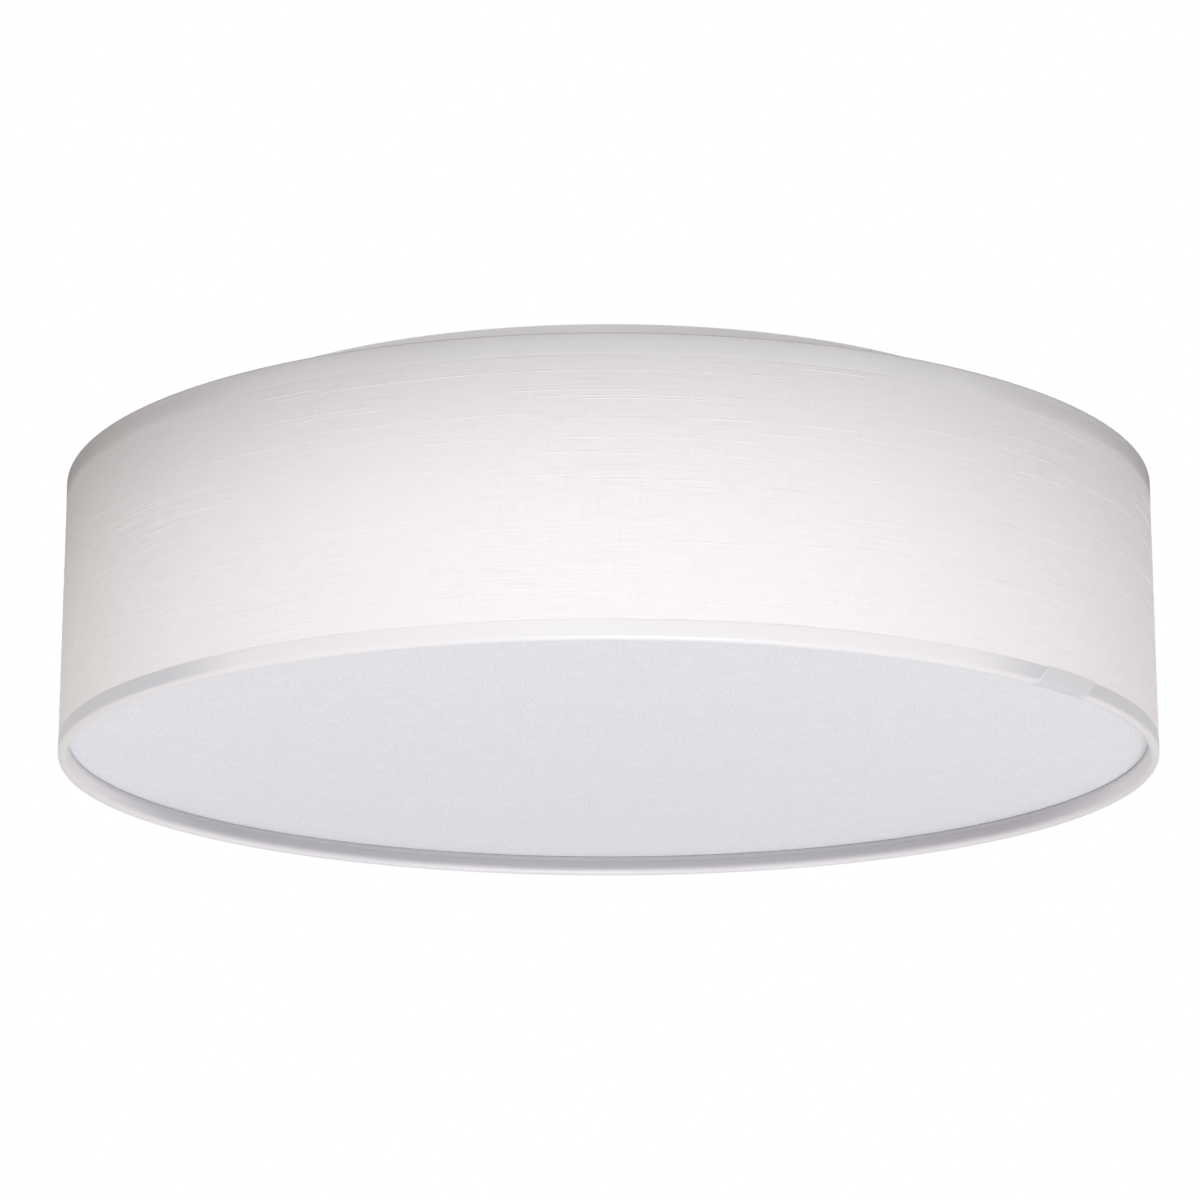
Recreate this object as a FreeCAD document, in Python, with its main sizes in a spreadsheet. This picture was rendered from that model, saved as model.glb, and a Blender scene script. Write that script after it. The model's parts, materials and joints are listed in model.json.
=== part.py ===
import FreeCAD, Part
import math
import os
import types
import Sketcher
from FreeCAD import Placement, Rotation, Vector

# A drum-shaded flush ceiling light, hung from its pressed steel pan.
# Origin: centre of the pan's ceiling face. +Z points up into the ceiling.

doc = FreeCAD.newDocument("ceiling_light")
sheet = doc.addObject("Spreadsheet::Sheet", "dims")

driving = [
    # the drum shade
    ("shade_radius", 200, "outside of the hem tapes"),
    ("shade_height", 103, "top edge to bottom edge"),
    ("shade_drop", 15, "ceiling to the shade's top edge"),
    ("top_hem", 8, "height of the top hem tape"),
    ("bottom_hem", 7.2, "height of the bottom hem tape"),
    ("tape", 0.3, "thickness of the hem tape"),
    ("fabric", 0.5, "thickness of the fabric"),
    ("liner", 0.4, "thickness of the stiff liner"),
    ("glue", 0.05, "glue line between the shade's layers"),
    ("wire", 3.4, "diameter of the top ring's wire"),
    ("hoop_thick", 1.8, "bottom hoop, across the wall"),
    ("recess", 7.6, "shade's bottom edge up to the diffuser"),
    ("roll", 1.8, "corner radius of the tape's folds"),
    # the diffuser
    ("diffuser_thick", 2, "opal sheet"),
    ("diffuser_gap", 0.45, "between the diffuser's edge and the liner"),
    ("seat_gap", 0.2, "between the diffuser and the hoop it lies on"),
    # the arms that carry the shade
    ("arm_wide", 12, "width of an arm"),
    ("arm_thick", 2, "thickness of an arm"),
    ("arm_inner", 96, "radius where an arm ends"),
    ("stud_at", 105, "radius of the shade's studs"),
    ("stud_radius", 2.5, "M5 stud"),
    ("stud_reach", 11, "stud below the arm"),
    ("run_gap", 0.35, "between the pan and the arms under it"),
    ("nut_radius", 8, "thumb nut"),
    ("nut_tall", 13, "thumb nut"),
    ("nut_notch", 0.7, "depth of the knurl"),
    ("nut_gap", 0.2, "between an arm and its thumb nut"),
    ("thread_gap", 0.15, "round the stud inside its thumb nut"),
    # the pan
    ("pan_radius", 163.5, "outside of the pan"),
    ("pan_wall", 0.8, "pressed steel"),
    ("pan_corner", 4, "outer radius of the pressed corner"),
    ("hole_gap", 0.1, "round a screw in its hole"),
    ("grommet_hole", 10, "radius of the pan's lead hole"),
    ("grommet_lip", 2.5, "lip of the grommet beyond its hole"),
    ("grommet_thick", 1.4, "lip thickness, and wall in the hole"),
    # the mounting strap
    ("strap_long", 150, "end to end"),
    ("strap_wide", 22, "width"),
    ("strap_thick", 1.5, "steel"),
    ("strap_step", 5, "ends stand this far off the ceiling"),
    ("strap_flat", 92, "length that lies on the ceiling"),
    ("strap_hole", 8, "radius of the supply hole"),
    ("slot_spacing", 60, "ceiling screw slots, centre to centre"),
    ("slot_radius", 2.4, "half the slot's width"),
    ("slot_long", 14, "slot, end to end"),
    ("pan_screw_at", 62, "radius of the pan's two screws"),
    # screws
    ("screw_radius", 2, "M4"),
    ("head_radius", 4, "M4 pan head"),
    ("head_tall", 2.4, "M4 pan head"),
    ("hex_flats", 7, "M4 nut across flats"),
    ("hex_tall", 3.2, "M4 nut"),
    ("screw_spare", 1.2, "screw beyond its nut"),
    # lamp holders
    ("lamp_level", 62, "ceiling to the lamps' axes"),
    ("bracket_at", 17, "centre to the bracket's upright"),
    ("bracket_wide", 24, "width"),
    ("bracket_thick", 1.5, "steel"),
    ("bracket_foot", 28, "length of the foot"),
    ("bracket_below", 11, "upright below the lamp's axis"),
    ("bracket_screw", 18, "upright to the foot's screw"),
    ("nipple_radius", 5, "hollow M10 nipple"),
    ("nipple_bore", 3.5, "radius of its bore"),
    ("nipple_deep", 8, "nipple inside the holder"),
    ("nipple_out", 5, "nipple behind the bracket"),
    ("lock_flats", 14, "ring nut across flats"),
    ("lock_thick", 3, "ring nut"),
    ("holder_radius", 19, "outside of the holder"),
    ("holder_long", 44, "holder, end to end"),
    ("holder_floor", 12, "back wall of the holder"),
    ("holder_bore", 15, "radius of the holder's mouth"),
    ("shell_sheet", 0.4, "rolled screw shell"),
    ("shell_radius", 13.5, "smallest inside radius of the shell"),
    ("shell_wave", 0.9, "depth of its thread"),
    ("thread_pitch", 3.62, "E27 thread"),
    ("shell_turns", 6, "turns of thread in the holder"),
    ("shell_start", 3.5, "floor to the start of the shell"),
    ("contact_wide", 6, "centre contact strip"),
    ("contact_tall", 2.2, "height of its tongue"),
    ("contact_half", 9, "half the strip's length"),
    ("contact_sheet", 0.5, "strip thickness"),
    ("contact_gap", 0.3, "between the tongue and the bulb's tip"),
    # bulbs
    ("bulb_radius", 30, "globe"),
    ("bulb_long", 110, "bulb, end to end"),
    ("bulb_wall", 1.2, "globe wall"),
    ("cap_radius", 13.2, "crest of the E27 cap"),
    ("cap_wave", 0.8, "depth of its thread"),
    ("cap_turns", 5, "turns on the cap"),
    ("tip_radius", 4.5, "centre contact"),
    ("tip_tall", 1.5, "centre contact"),
    ("cone_tall", 3.6, "insulating cone behind the tip"),
    ("neck_radius", 15, "housing where it leaves the holder"),
    ("neck_long", 8, "straight neck of the housing"),
    ("collar_radius", 24, "housing where it meets the globe"),
    ("collar_bend", 62, "hollow curve of the housing"),
    # terminal block and leads
    ("lead_radius", 0.9, "insulated lead"),
    ("lead_bend", 7, "radius of its bends"),
    ("block_at", 44, "centre to the block's near face"),
    ("block_deep", 18, "along the leads"),
    ("block_tall", 11, "height"),
    ("pole_pitch", 13, "between the poles"),
    ("pole_wide", 10, "brass pole"),
    ("pole_tall", 5, "brass pole"),
    ("pole_deep", 14, "brass pole"),
    ("pole_gap", 0.2, "round a pole in its tunnel"),
    ("entry_pitch", 3, "between the entries of one pole"),
    ("entry_deep", 6, "depth of an entry"),
    ("entry_gap", 0.2, "round a lead in its entry"),
    ("supply_entry", 1.3, "radius of the supply side's entries"),
    ("small_screw", 1.4, "radius of the block's screw"),
    ("small_head", 2.8, "radius of its head"),
    ("earth_x", 46, "earth screw from the centre, across"),
    ("earth_y", -30, "earth screw from the centre, along"),
    ("lug_radius", 4.2, "ring lug on the earth lead"),
    ("lug_thick", 0.8, "ring lug"),
    ("lug_tail", 6, "barrel of the lug"),
]


class Size:
    """A length that knows both its number and the cells that drive it."""

    def __init__(self, value, text):
        self.value = value
        self.text = text

    def join(self, sign, other, value):
        return Size(value, f"({self.text} {sign} {sized(other).text})")

    def __add__(self, other):
        return self.join("+", other, self.value + sized(other).value)

    def __sub__(self, other):
        return self.join("-", other, self.value - sized(other).value)

    def __mul__(self, other):
        return self.join("*", other, self.value * sized(other).value)

    def __truediv__(self, other):
        return self.join("/", other, self.value / sized(other).value)

    def __radd__(self, other):
        return sized(other) + self

    def __rsub__(self, other):
        return sized(other) - self

    def __rmul__(self, other):
        return sized(other) * self

    def __neg__(self):
        return Size(-self.value, f"(-1 * {self.text})")


def sized(number):
    return number if isinstance(number, Size) else Size(number, f"({number:.9g})")


def fill_sheet():
    cells = {}
    for row, (alias, value, note) in enumerate(driving, start=1):
        sheet.set(f"A{row}", str(value))
        sheet.setAlias(f"A{row}", alias)
        sheet.set(f"B{row}", note)
        cells[alias] = Size(value, f"dims.{alias}")
    doc.recompute()
    return types.SimpleNamespace(**cells)


d = fill_sheet()

# levels, all below the ceiling face
shade_top = -d.shade_drop
shade_bottom = shade_top - d.shade_height
pan_face = shade_top - d.tape - d.glue - d.wire + d.run_gap
pan_inside = pan_face + d.pan_wall
arm_top = pan_face - d.run_gap
arm_bottom = arm_top - d.arm_thick
diffuser_under = shade_bottom + d.recess
lamp_axis = -d.lamp_level

# radii of the shade's layers, from the outside in
tape_inside = d.shade_radius - d.tape + d.glue
fabric_outside = d.shade_radius - d.tape
liner_outside = fabric_outside - d.fabric - d.glue
liner_inside = liner_outside - d.liner
ring_radius = liner_inside - d.glue - d.wire / 2
hoop_outside = liner_inside - d.glue
hoop_inside = hoop_outside - d.hoop_thick

# stations along a lamp's axis, from the light's centre
holder_back = d.bracket_at + d.bracket_thick
holder_inner_floor = holder_back + d.holder_floor

lamp_turns = {1: 90, 2: 210, 3: 330}
stud_turns = {1: 30, 2: 150, 3: 270}


def bind(thing, path, size):
    thing.setExpression(path, sized(size).text)


def new_body(label):
    body = doc.addObject("PartDesign::Body", label)
    body.AllowCompound = True
    return body


def origin_feature(body, role):
    return next(item for item in body.Origin.OriginFeatures if item.Role == role)


def new_sketch(body, plane, level=0):
    sketch = body.newObject("Sketcher::SketchObject", f"{body.Name}_outline")
    sketch.AttachmentSupport = [(origin_feature(body, plane), "")]
    sketch.MapMode = "FlatFace"
    bind(sketch, "AttachmentOffset.Base.z", level)
    return sketch


def pin_point(sketch, edge, end, x, y):
    for kind, size in (("DistanceX", x), ("DistanceY", y)):
        row = sketch.addConstraint(Sketcher.Constraint(kind, edge, end, size.value))
        bind(sketch, f"Constraints[{row}]", size)


def bent_edge(start, end, radius):
    """An arc from start to end; a positive radius turns left."""
    chord = end - start
    side = Vector(-chord.y, chord.x, 0).normalize() * math.copysign(1, radius)
    centre = (start + end) / 2 + side * math.sqrt(max(radius**2 - (chord.Length / 2) ** 2, 0))
    first, last = (start, end) if radius > 0 else (end, start)
    angles = [math.atan2(p.y - centre.y, p.x - centre.x) for p in (first, last)]
    if angles[1] < angles[0]:
        angles[1] += 2 * math.pi
    return Part.ArcOfCircle(Part.Circle(centre, Vector(0, 0, 1), abs(radius)), *angles)


def draw_outline(sketch, points):
    """A closed outline. A third number is the bend radius of the edge that arrives there."""
    corners = [(sized(p[0]), sized(p[1])) for p in points]
    bends = [sized(p[2]) if len(p) > 2 else None for p in points]
    count = len(points)
    ends = []
    for i in range(count):
        start, end = (Vector(c[0].value, c[1].value, 0) for c in (corners[i], corners[(i + 1) % count]))
        bend = bends[(i + 1) % count]
        if bend is None:
            edge = sketch.addGeometry(Part.LineSegment(start, end))
            ends.append((edge, 1, 2))
        else:
            edge = sketch.addGeometry(bent_edge(start, end, bend.value))
            ends.append((edge, 1, 2) if bend.value > 0 else (edge, 2, 1))
            size = bend if bend.value > 0 else -bend
            row = sketch.addConstraint(Sketcher.Constraint("Radius", edge, size.value))
            bind(sketch, f"Constraints[{row}]", size)
    for i in range(count):
        before, here = ends[i - 1], ends[i]
        sketch.addConstraint(Sketcher.Constraint("Coincident", before[0], before[2], here[0], here[1]))
        pin_point(sketch, here[0], here[1], *corners[i])


def draw_circle(sketch, x, y, radius):
    x, y, radius = sized(x), sized(y), sized(radius)
    circle = Part.Circle(Vector(x.value, y.value, 0), Vector(0, 0, 1), radius.value)
    edge = sketch.addGeometry(circle)
    pin_point(sketch, edge, 3, x, y)
    row = sketch.addConstraint(Sketcher.Constraint("Radius", edge, radius.value))
    bind(sketch, f"Constraints[{row}]", radius)


def rectangle(left, low, right, high):
    return [(left, low), (right, low), (right, high), (left, high)]


def draw_hexagon(sketch, x, y, flats):
    reach = flats / math.sqrt(3)
    corners = [math.radians(60 * k) for k in range(6)]
    draw_outline(sketch, [(x + reach * math.cos(a), y + reach * math.sin(a)) for a in corners])


def turn_about_z(body, points, x=0, y=0):
    """Turns the outline, drawn as radius and height, about an upright axis at x, y."""
    sketch = new_sketch(body, "XZ_Plane", -sized(y))
    bind(sketch, "AttachmentOffset.Base.x", x)
    draw_outline(sketch, points)
    turning = body.newObject("PartDesign::Revolution", f"{body.Name}_turned")
    turning.Profile = sketch
    turning.ReferenceAxis = (sketch, ["V_Axis"])
    turning.Angle = 360
    return turning


def turned(label, points):
    body = new_body(label)
    turn_about_z(body, points)
    return body


def pad(body, sketch, length, midplane=False):
    grown = body.newObject("PartDesign::Pad", f"{body.Name}_pad")
    grown.Profile = sketch
    grown.Midplane = midplane
    bind(grown, "Length", length)
    return grown


def cut_through(body, sketch):
    cut = body.newObject("PartDesign::Pocket", f"{body.Name}_cut")
    cut.Profile = sketch
    cut.Type = "ThroughAll"
    cut.Midplane = True
    return cut


def cut_to(body, sketch, depth, reverse=False):
    cut = body.newObject("PartDesign::Pocket", f"{body.Name}_cut")
    cut.Profile = sketch
    cut.Reversed = reverse
    bind(cut, "Length", depth)
    return cut


def repeat_round(body, feature, count):
    ring = body.newObject("PartDesign::PolarPattern", f"{body.Name}_ring")
    ring.Originals = [feature]
    ring.Axis = (origin_feature(body, "Z_Axis"), [""])
    ring.Angle = 360
    ring.Occurrences = count
    body.Tip = ring
    return ring


def place(thing, x=0, y=0, z=0, turn=0, tilt=0):
    """Stands a piece at x, y, z, tilted about Y and then turned about Z."""
    rotation = Rotation(Vector(0, 0, 1), turn) * Rotation(Vector(0, 1, 0), tilt)
    thing.Placement = Placement(Vector(0, 0, 0), rotation)
    for axis, size in zip("xyz", (x, y, z)):
        bind(thing, f"Placement.Base.{axis}", size)


def lay_on_lamp_axis(thing, station, turn):
    """Turns a piece made along +Z to point outwards along a lamp's axis."""
    angle = math.radians(turn)
    place(thing, station * math.cos(angle), station * math.sin(angle), lamp_axis, turn, 90)


def waved(radius, wave, start, turns, pitch):
    """The steps of a rolled thread as rings: radius and height pairs going up."""
    points = []
    for k in range(int(turns.value)):
        foot = start + pitch * k
        points += [(radius, foot), (radius, foot + pitch * 0.2)]
        points += [(radius + wave, foot + pitch * 0.4), (radius + wave, foot + pitch * 0.8)]
    return points + [(radius, start + pitch * turns)]


# ---- shade ----


def shade_liner():
    top, bottom = shade_top - d.roll, shade_bottom + d.roll
    turned("shade_liner", rectangle(liner_inside, bottom, liner_outside, top))


def shade_fabric():
    inside = fabric_outside - d.fabric
    top, bottom = shade_top - d.roll, shade_bottom + d.roll
    turned("shade_fabric", rectangle(inside, bottom, fabric_outside, top))


def folded(centre, level, across, up, start, end, facets):
    """Points round a fold, from angle start to end, about a centre at this radius and level."""
    turns = [math.radians(start + (end - start) * step / facets) for step in range(facets + 1)]
    return [(centre + across * round(math.cos(t), 5), level + up * round(math.sin(t), 5)) for t in turns]


def top_hem_tape():
    outside, inside = d.shade_radius, ring_radius - d.wire / 2 - d.glue - d.tape
    skirt, lip = shade_top - d.top_hem, shade_top - d.roll
    outer, inner = outside - d.roll, inside + d.roll
    within = d.roll - d.tape
    turned("top_hem_tape", [
        (tape_inside, skirt),
        (outside, skirt),
        *folded(outer, lip, d.roll, d.roll, 0, 90, 3),
        *folded(inner, lip, d.roll, d.roll, 90, 180, 3),
        *folded(inner, lip, within, within, 180, 90, 3),
        *folded(outer, lip, tape_inside - outer, within, 90, 0, 3),
    ])


def bottom_hem_tape():
    outside, inside = d.shade_radius, hoop_inside - d.glue - d.tape
    skirt, top = shade_bottom + d.bottom_hem, diffuser_under - d.seat_gap - d.tape
    middle, half = (outside + inside) / 2, (outside - inside) / 2
    foot = shade_bottom + half
    within = half - d.tape
    turned("bottom_hem_tape", [
        (tape_inside, skirt),
        *folded(middle, foot, tape_inside - middle, within, 0, -90, 3),
        *folded(middle, foot, within, within, -90, -180, 3)[1:],
        (inside + d.tape, top),
        (inside, top),
        *folded(middle, foot, half, half, -180, 0, 6),
        (outside, skirt),
    ])


def top_ring():
    ring = doc.addObject("Part::Torus", "top_ring")
    bind(ring, "Radius1", ring_radius)
    bind(ring, "Radius2", d.wire / 2)
    place(ring, z=shade_top - d.tape - d.glue - d.wire / 2)


def bottom_hoop():
    foot, top = shade_bottom + (d.shade_radius - hoop_inside) / 2, diffuser_under - d.seat_gap
    turned("bottom_hoop", rectangle(hoop_inside, foot, hoop_outside, top))


def frame_arm(number, turn):
    arm = new_body(f"frame_arm_{number}")
    half, reach = d.arm_wide / 2, ring_radius + d.wire / 4
    blank = new_sketch(arm, "XY_Plane")
    draw_outline(blank, [
        (reach, -half),
        (reach, half),
        (d.arm_inner + half, half),
        (d.arm_inner + half, -half, half * 1.001),
    ])
    pad(arm, blank, d.arm_thick)
    hole = new_sketch(arm, "XY_Plane")
    draw_circle(hole, d.stud_at, 0, d.stud_radius + d.thread_gap * 2)
    cut_through(arm, hole)
    place(arm, z=arm_bottom, turn=turn)


def thumb_nut(number, turn):
    nut = new_body(f"thumb_nut_{number}")
    bore, chamfer = d.stud_radius + d.thread_gap, d.nut_notch
    turn_about_z(nut, [
        (bore, d.nut_tall),
        (bore, d.nut_tall - d.stud_reach),
        (0, d.nut_tall - d.stud_reach),
        (0, 0),
        (d.nut_radius - chamfer, 0),
        (d.nut_radius, chamfer),
        (d.nut_radius, d.nut_tall - chamfer),
        (d.nut_radius - chamfer, d.nut_tall),
    ])
    notch = new_sketch(nut, "XY_Plane")
    draw_outline(notch, [
        (d.nut_radius - d.nut_notch, 0),
        (d.nut_radius + d.nut_notch, -d.nut_notch * 1.2),
        (d.nut_radius + d.nut_notch, d.nut_notch * 1.2),
    ])
    repeat_round(nut, cut_to(nut, notch, d.nut_tall, reverse=True), 24)
    angle = math.radians(turn)
    level = arm_bottom - d.nut_gap - d.nut_tall
    place(nut, d.stud_at * math.cos(angle), d.stud_at * math.sin(angle), level, turn)


def diffuser():
    edge, top = liner_inside - d.diffuser_gap, diffuser_under + d.diffuser_thick
    turned("diffuser", rectangle(0, diffuser_under, edge, top))


# ---- pan and what is fixed to it ----


def ceiling_pan():
    pan = new_body("ceiling_pan")
    outside, inside = d.pan_radius, d.pan_radius - d.pan_wall
    bend = d.pan_corner
    turn_about_z(pan, [
        (d.grommet_hole, pan_face),
        (outside - bend, pan_face),
        (outside, pan_face + bend, bend),
        (outside, 0),
        (inside, 0),
        (inside, pan_face + bend),
        (outside - bend, pan_inside, d.pan_wall - bend),
        (d.grommet_hole, pan_inside),
    ])
    holes = new_sketch(pan, "XY_Plane")
    screw = d.screw_radius + d.hole_gap
    for turn in lamp_turns.values():
        angle = math.radians(turn)
        reach = holder_back + d.bracket_screw
        draw_circle(holes, reach * math.cos(angle), reach * math.sin(angle), screw)
    for turn in stud_turns.values():
        angle = math.radians(turn)
        draw_circle(holes, d.stud_at * math.cos(angle), d.stud_at * math.sin(angle), d.stud_radius)
    for side in (-1, 1):
        draw_circle(holes, side * d.pan_screw_at, 0, screw)
    draw_circle(holes, d.earth_x, d.earth_y, screw)
    draw_circle(holes, block_screw_x, block_middle, d.small_screw)
    cut_through(pan, holes)


def lead_grommet():
    hole, lip = d.grommet_hole, d.grommet_hole + d.grommet_lip
    bore = hole - d.grommet_thick
    turned("lead_grommet", [
        (bore, pan_face - d.grommet_thick),
        (lip, pan_face - d.grommet_thick),
        (lip, pan_face),
        (hole, pan_face),
        (hole, pan_inside),
        (lip, pan_inside),
        (lip, pan_inside + d.grommet_thick),
        (bore, pan_inside + d.grommet_thick),
    ])


def mounting_strap():
    strap = new_body("mounting_strap")
    flat, slope = d.strap_flat / 2, d.strap_flat / 2 + d.strap_step
    end, thick, step = d.strap_long / 2, d.strap_thick, d.strap_step
    side_view = new_sketch(strap, "XZ_Plane")
    draw_outline(side_view, [
        (-end, -step), (-slope, -step), (-flat, 0), (flat, 0), (slope, -step), (end, -step),
        (end, -step - thick), (slope - thick / 2, -step - thick), (flat - thick / 2, -thick),
        (thick / 2 - flat, -thick), (thick / 2 - slope, -step - thick), (-end, -step - thick),
    ])
    pad(strap, side_view, d.strap_wide, midplane=True)
    holes = new_sketch(strap, "XY_Plane")
    draw_circle(holes, 0, 0, d.strap_hole)
    for side in (-1, 1):
        draw_circle(holes, side * d.pan_screw_at, 0, d.screw_radius + d.hole_gap)
        run = d.slot_long / 2 - d.slot_radius
        middle, half = side * d.slot_spacing / 2, d.slot_radius
        draw_outline(holes, [
            (middle - run, -half, half * 1.0001),
            (middle + run, -half),
            (middle + run, half, half * 1.0001),
            (middle - run, half),
        ])
    cut_through(strap, holes)


def machine_screws(label, positions, under_head, reach):
    """Pan-headed M4 screws pointing up, their heads below under_head, all in one node."""
    group = new_body(label)
    radius, head_radius, head_tall = d.screw_radius, d.head_radius, d.head_tall
    tip = under_head + reach
    for x, y in positions:
        turn_about_z(group, [
            (0, under_head - head_tall),
            (head_radius * 0.6, under_head - head_tall),
            (head_radius, under_head - head_tall * 0.4, head_radius * 0.6),
            (head_radius, under_head),
            (radius, under_head),
            (radius, tip - radius * 0.3),
            (radius * 0.7, tip),
            (0, tip),
        ], x, y)


def hex_nuts(label, positions, level):
    group = new_body(label)
    outline = new_sketch(group, "XY_Plane", level)
    for x, y in positions:
        draw_hexagon(outline, x, y, d.hex_flats)
        draw_circle(outline, x, y, d.screw_radius + d.hole_gap)
    pad(group, outline, d.hex_tall)


def around(radius, turns):
    angles = [math.radians(turn) for turn in turns.values()]
    return [(radius * math.cos(a), radius * math.sin(a)) for a in angles]


def fixings():
    feet = around(holder_back + d.bracket_screw, lamp_turns)
    earth = [(d.earth_x, d.earth_y)]
    grip = d.pan_wall + d.hex_tall + d.screw_spare
    machine_screws("bracket_screws", feet, pan_face - d.bracket_thick, grip + d.bracket_thick)
    hex_nuts("bracket_nuts", feet, pan_inside)
    machine_screws("earth_screw", earth, pan_face, grip + d.lug_thick)
    hex_nuts("earth_nut", earth, pan_inside + d.lug_thick)
    pan_points = [(-d.pan_screw_at, 0), (d.pan_screw_at, 0)]
    machine_screws("pan_screws", pan_points, pan_face, d.screw_spare * 2 - d.strap_step - pan_face)


def shade_studs():
    """Studs with a thin head inside the pan, hanging through its face."""
    group = new_body("shade_studs")
    head, tip = d.stud_radius * 2, arm_bottom - d.stud_reach + d.nut_gap + d.stud_radius / 2
    stud = turn_about_z(group, [
        (0, pan_inside + d.stud_radius / 2),
        (0, tip),
        (d.stud_radius * 0.7, tip),
        (d.stud_radius, tip + d.stud_radius * 0.3),
        (d.stud_radius, pan_inside),
        (head, pan_inside),
        (head, pan_inside + d.stud_radius / 2),
    ], d.stud_at)
    repeat_round(group, stud, len(stud_turns))
    place(group, turn=stud_turns[1])


# ---- terminal block and earth ----

block_middle = -(d.block_at + d.block_deep / 2)
block_long = d.pole_pitch * 3 + d.pole_gap * 2
block_screw_x = d.pole_pitch / 2
pole_level = pan_inside + d.block_tall / 2 - d.pole_tall / 2
lead_level = pan_inside + d.block_tall / 2
live_pole, neutral_pole, earth_pole = (-d.pole_pitch, sized(0), sized(d.pole_pitch))


def terminal_block():
    block = new_body("terminal_block")
    blank = new_sketch(block, "XY_Plane", pan_inside)
    near, far = -d.block_at, -(d.block_at + d.block_deep)
    end = block_long / 2
    draw_outline(blank, rectangle(-end, far, end, near))
    pad(block, blank, d.block_tall)
    tunnels = new_sketch(block, "XZ_Plane")
    half = d.pole_wide / 2 + d.pole_gap
    low, high = pole_level - d.pole_gap, pole_level + d.pole_tall + d.pole_gap
    for pole in (live_pole, neutral_pole, earth_pole):
        draw_outline(tunnels, rectangle(pole - half, low, pole + half, high))
    cut_through(block, tunnels)
    hole = new_sketch(block, "XY_Plane")
    draw_circle(hole, block_screw_x, block_middle, d.small_screw + d.hole_gap)
    cut_through(block, hole)


def terminal_poles():
    poles = new_body("terminal_poles")
    blank = new_sketch(poles, "XY_Plane", pole_level)
    near, far = block_middle + d.pole_deep / 2, block_middle - d.pole_deep / 2
    half = d.pole_wide / 2
    for pole in (live_pole, neutral_pole, earth_pole):
        draw_outline(blank, rectangle(pole - half, far, pole + half, near))
    pad(poles, blank, d.pole_tall)
    entries = new_sketch(poles, "XZ_Plane", -near)
    for pole in (live_pole, neutral_pole, earth_pole):
        for step in (-1, 0, 1):
            draw_circle(entries, pole + step * d.entry_pitch, lead_level, d.lead_radius + d.entry_gap)
    cut_to(poles, entries, d.entry_deep + d.entry_gap, reverse=True)
    supply = new_sketch(poles, "XZ_Plane", -far)
    for pole in (live_pole, neutral_pole, earth_pole):
        draw_circle(supply, pole, lead_level, d.supply_entry)
    cut_to(poles, supply, d.entry_deep + d.entry_gap)


def block_screw():
    """Driven down through the block into the pan."""
    screw = new_body("block_screw")
    top = pan_inside + d.block_tall
    turn_about_z(screw, [
        (0, pan_face - d.small_screw),
        (d.small_screw * 0.3, pan_face - d.small_screw),
        (d.small_screw, pan_face - d.small_screw / 4),
        (d.small_screw, top),
        (d.small_head, top),
        (d.small_head, top + d.small_screw / 2),
        (d.small_head * 0.6, top + d.small_screw, d.small_head),
        (0, top + d.small_screw),
    ], block_screw_x, block_middle)


def earth_lug():
    lug = new_body("earth_lug")
    blank = new_sketch(lug, "XY_Plane")
    draw_circle(blank, 0, 0, d.lug_radius)
    draw_circle(blank, 0, 0, d.screw_radius + d.hole_gap)
    pad(lug, blank, d.lug_thick)
    outer, tail = d.lead_radius + d.lug_thick, d.lug_radius + d.lug_tail
    tall = d.lug_thick * 2 + d.lead_radius * 2
    for start, thick in ((d.lug_radius * 0.8, d.lug_thick), (d.lug_radius + d.lug_thick / 2, tall)):
        step = new_sketch(lug, "XY_Plane")
        draw_outline(step, rectangle(start, -outer, tail, outer))
        pad(lug, step, thick)
    bore = new_sketch(lug, "YZ_Plane")
    draw_circle(bore, 0, d.lug_thick + d.lead_radius, d.lead_radius)
    hollow = lug.newObject("PartDesign::Pocket", "earth_lug_bore")
    hollow.Profile = bore
    hollow.Reversed = True
    bind(hollow, "Length", tail + d.lug_tail)
    place(lug, d.earth_x, d.earth_y, pan_inside, turn=lug_turn)


lug_turn = 180


# ---- lamp holders ----


def holder_bracket(number, turn):
    bracket = new_body(f"holder_bracket_{number}")
    inner, outer, thick = d.bracket_at, holder_back, d.bracket_thick
    foot_end, bottom = outer + d.bracket_foot, lamp_axis - d.bracket_below
    side_view = new_sketch(bracket, "XZ_Plane")
    draw_outline(side_view, [
        (inner, bottom),
        (outer, bottom),
        (outer, pan_face - thick * 2),
        (outer + thick, pan_face - thick, -thick),
        (foot_end, pan_face - thick),
        (foot_end, pan_face),
        (inner + thick * 2, pan_face),
        (inner, pan_face - thick * 2, thick * 2),
    ])
    pad(bracket, side_view, d.bracket_wide, midplane=True)
    nipple_hole = new_sketch(bracket, "YZ_Plane")
    draw_circle(nipple_hole, 0, lamp_axis, d.nipple_radius + d.hole_gap)
    cut_through(bracket, nipple_hole)
    foot_hole = new_sketch(bracket, "XY_Plane")
    draw_circle(foot_hole, outer + d.bracket_screw, 0, d.screw_radius + d.hole_gap)
    cut_through(bracket, foot_hole)
    place(bracket, turn=turn)


def holder_nipples():
    group = new_body("holder_nipples")
    start, end = d.bracket_at - d.nipple_out, holder_back + d.nipple_deep
    side = new_sketch(group, "XY_Plane")
    draw_outline(side, [
        (start, d.nipple_bore),
        (end, d.nipple_bore),
        (end, d.nipple_radius),
        (start, d.nipple_radius),
    ])
    turning = group.newObject("PartDesign::Revolution", "holder_nipples_turned")
    turning.Profile = side
    turning.ReferenceAxis = (side, ["H_Axis"])
    turning.Angle = 360
    repeat_round(group, turning, len(lamp_turns))
    place(group, z=lamp_axis, turn=lamp_turns[1])


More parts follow.
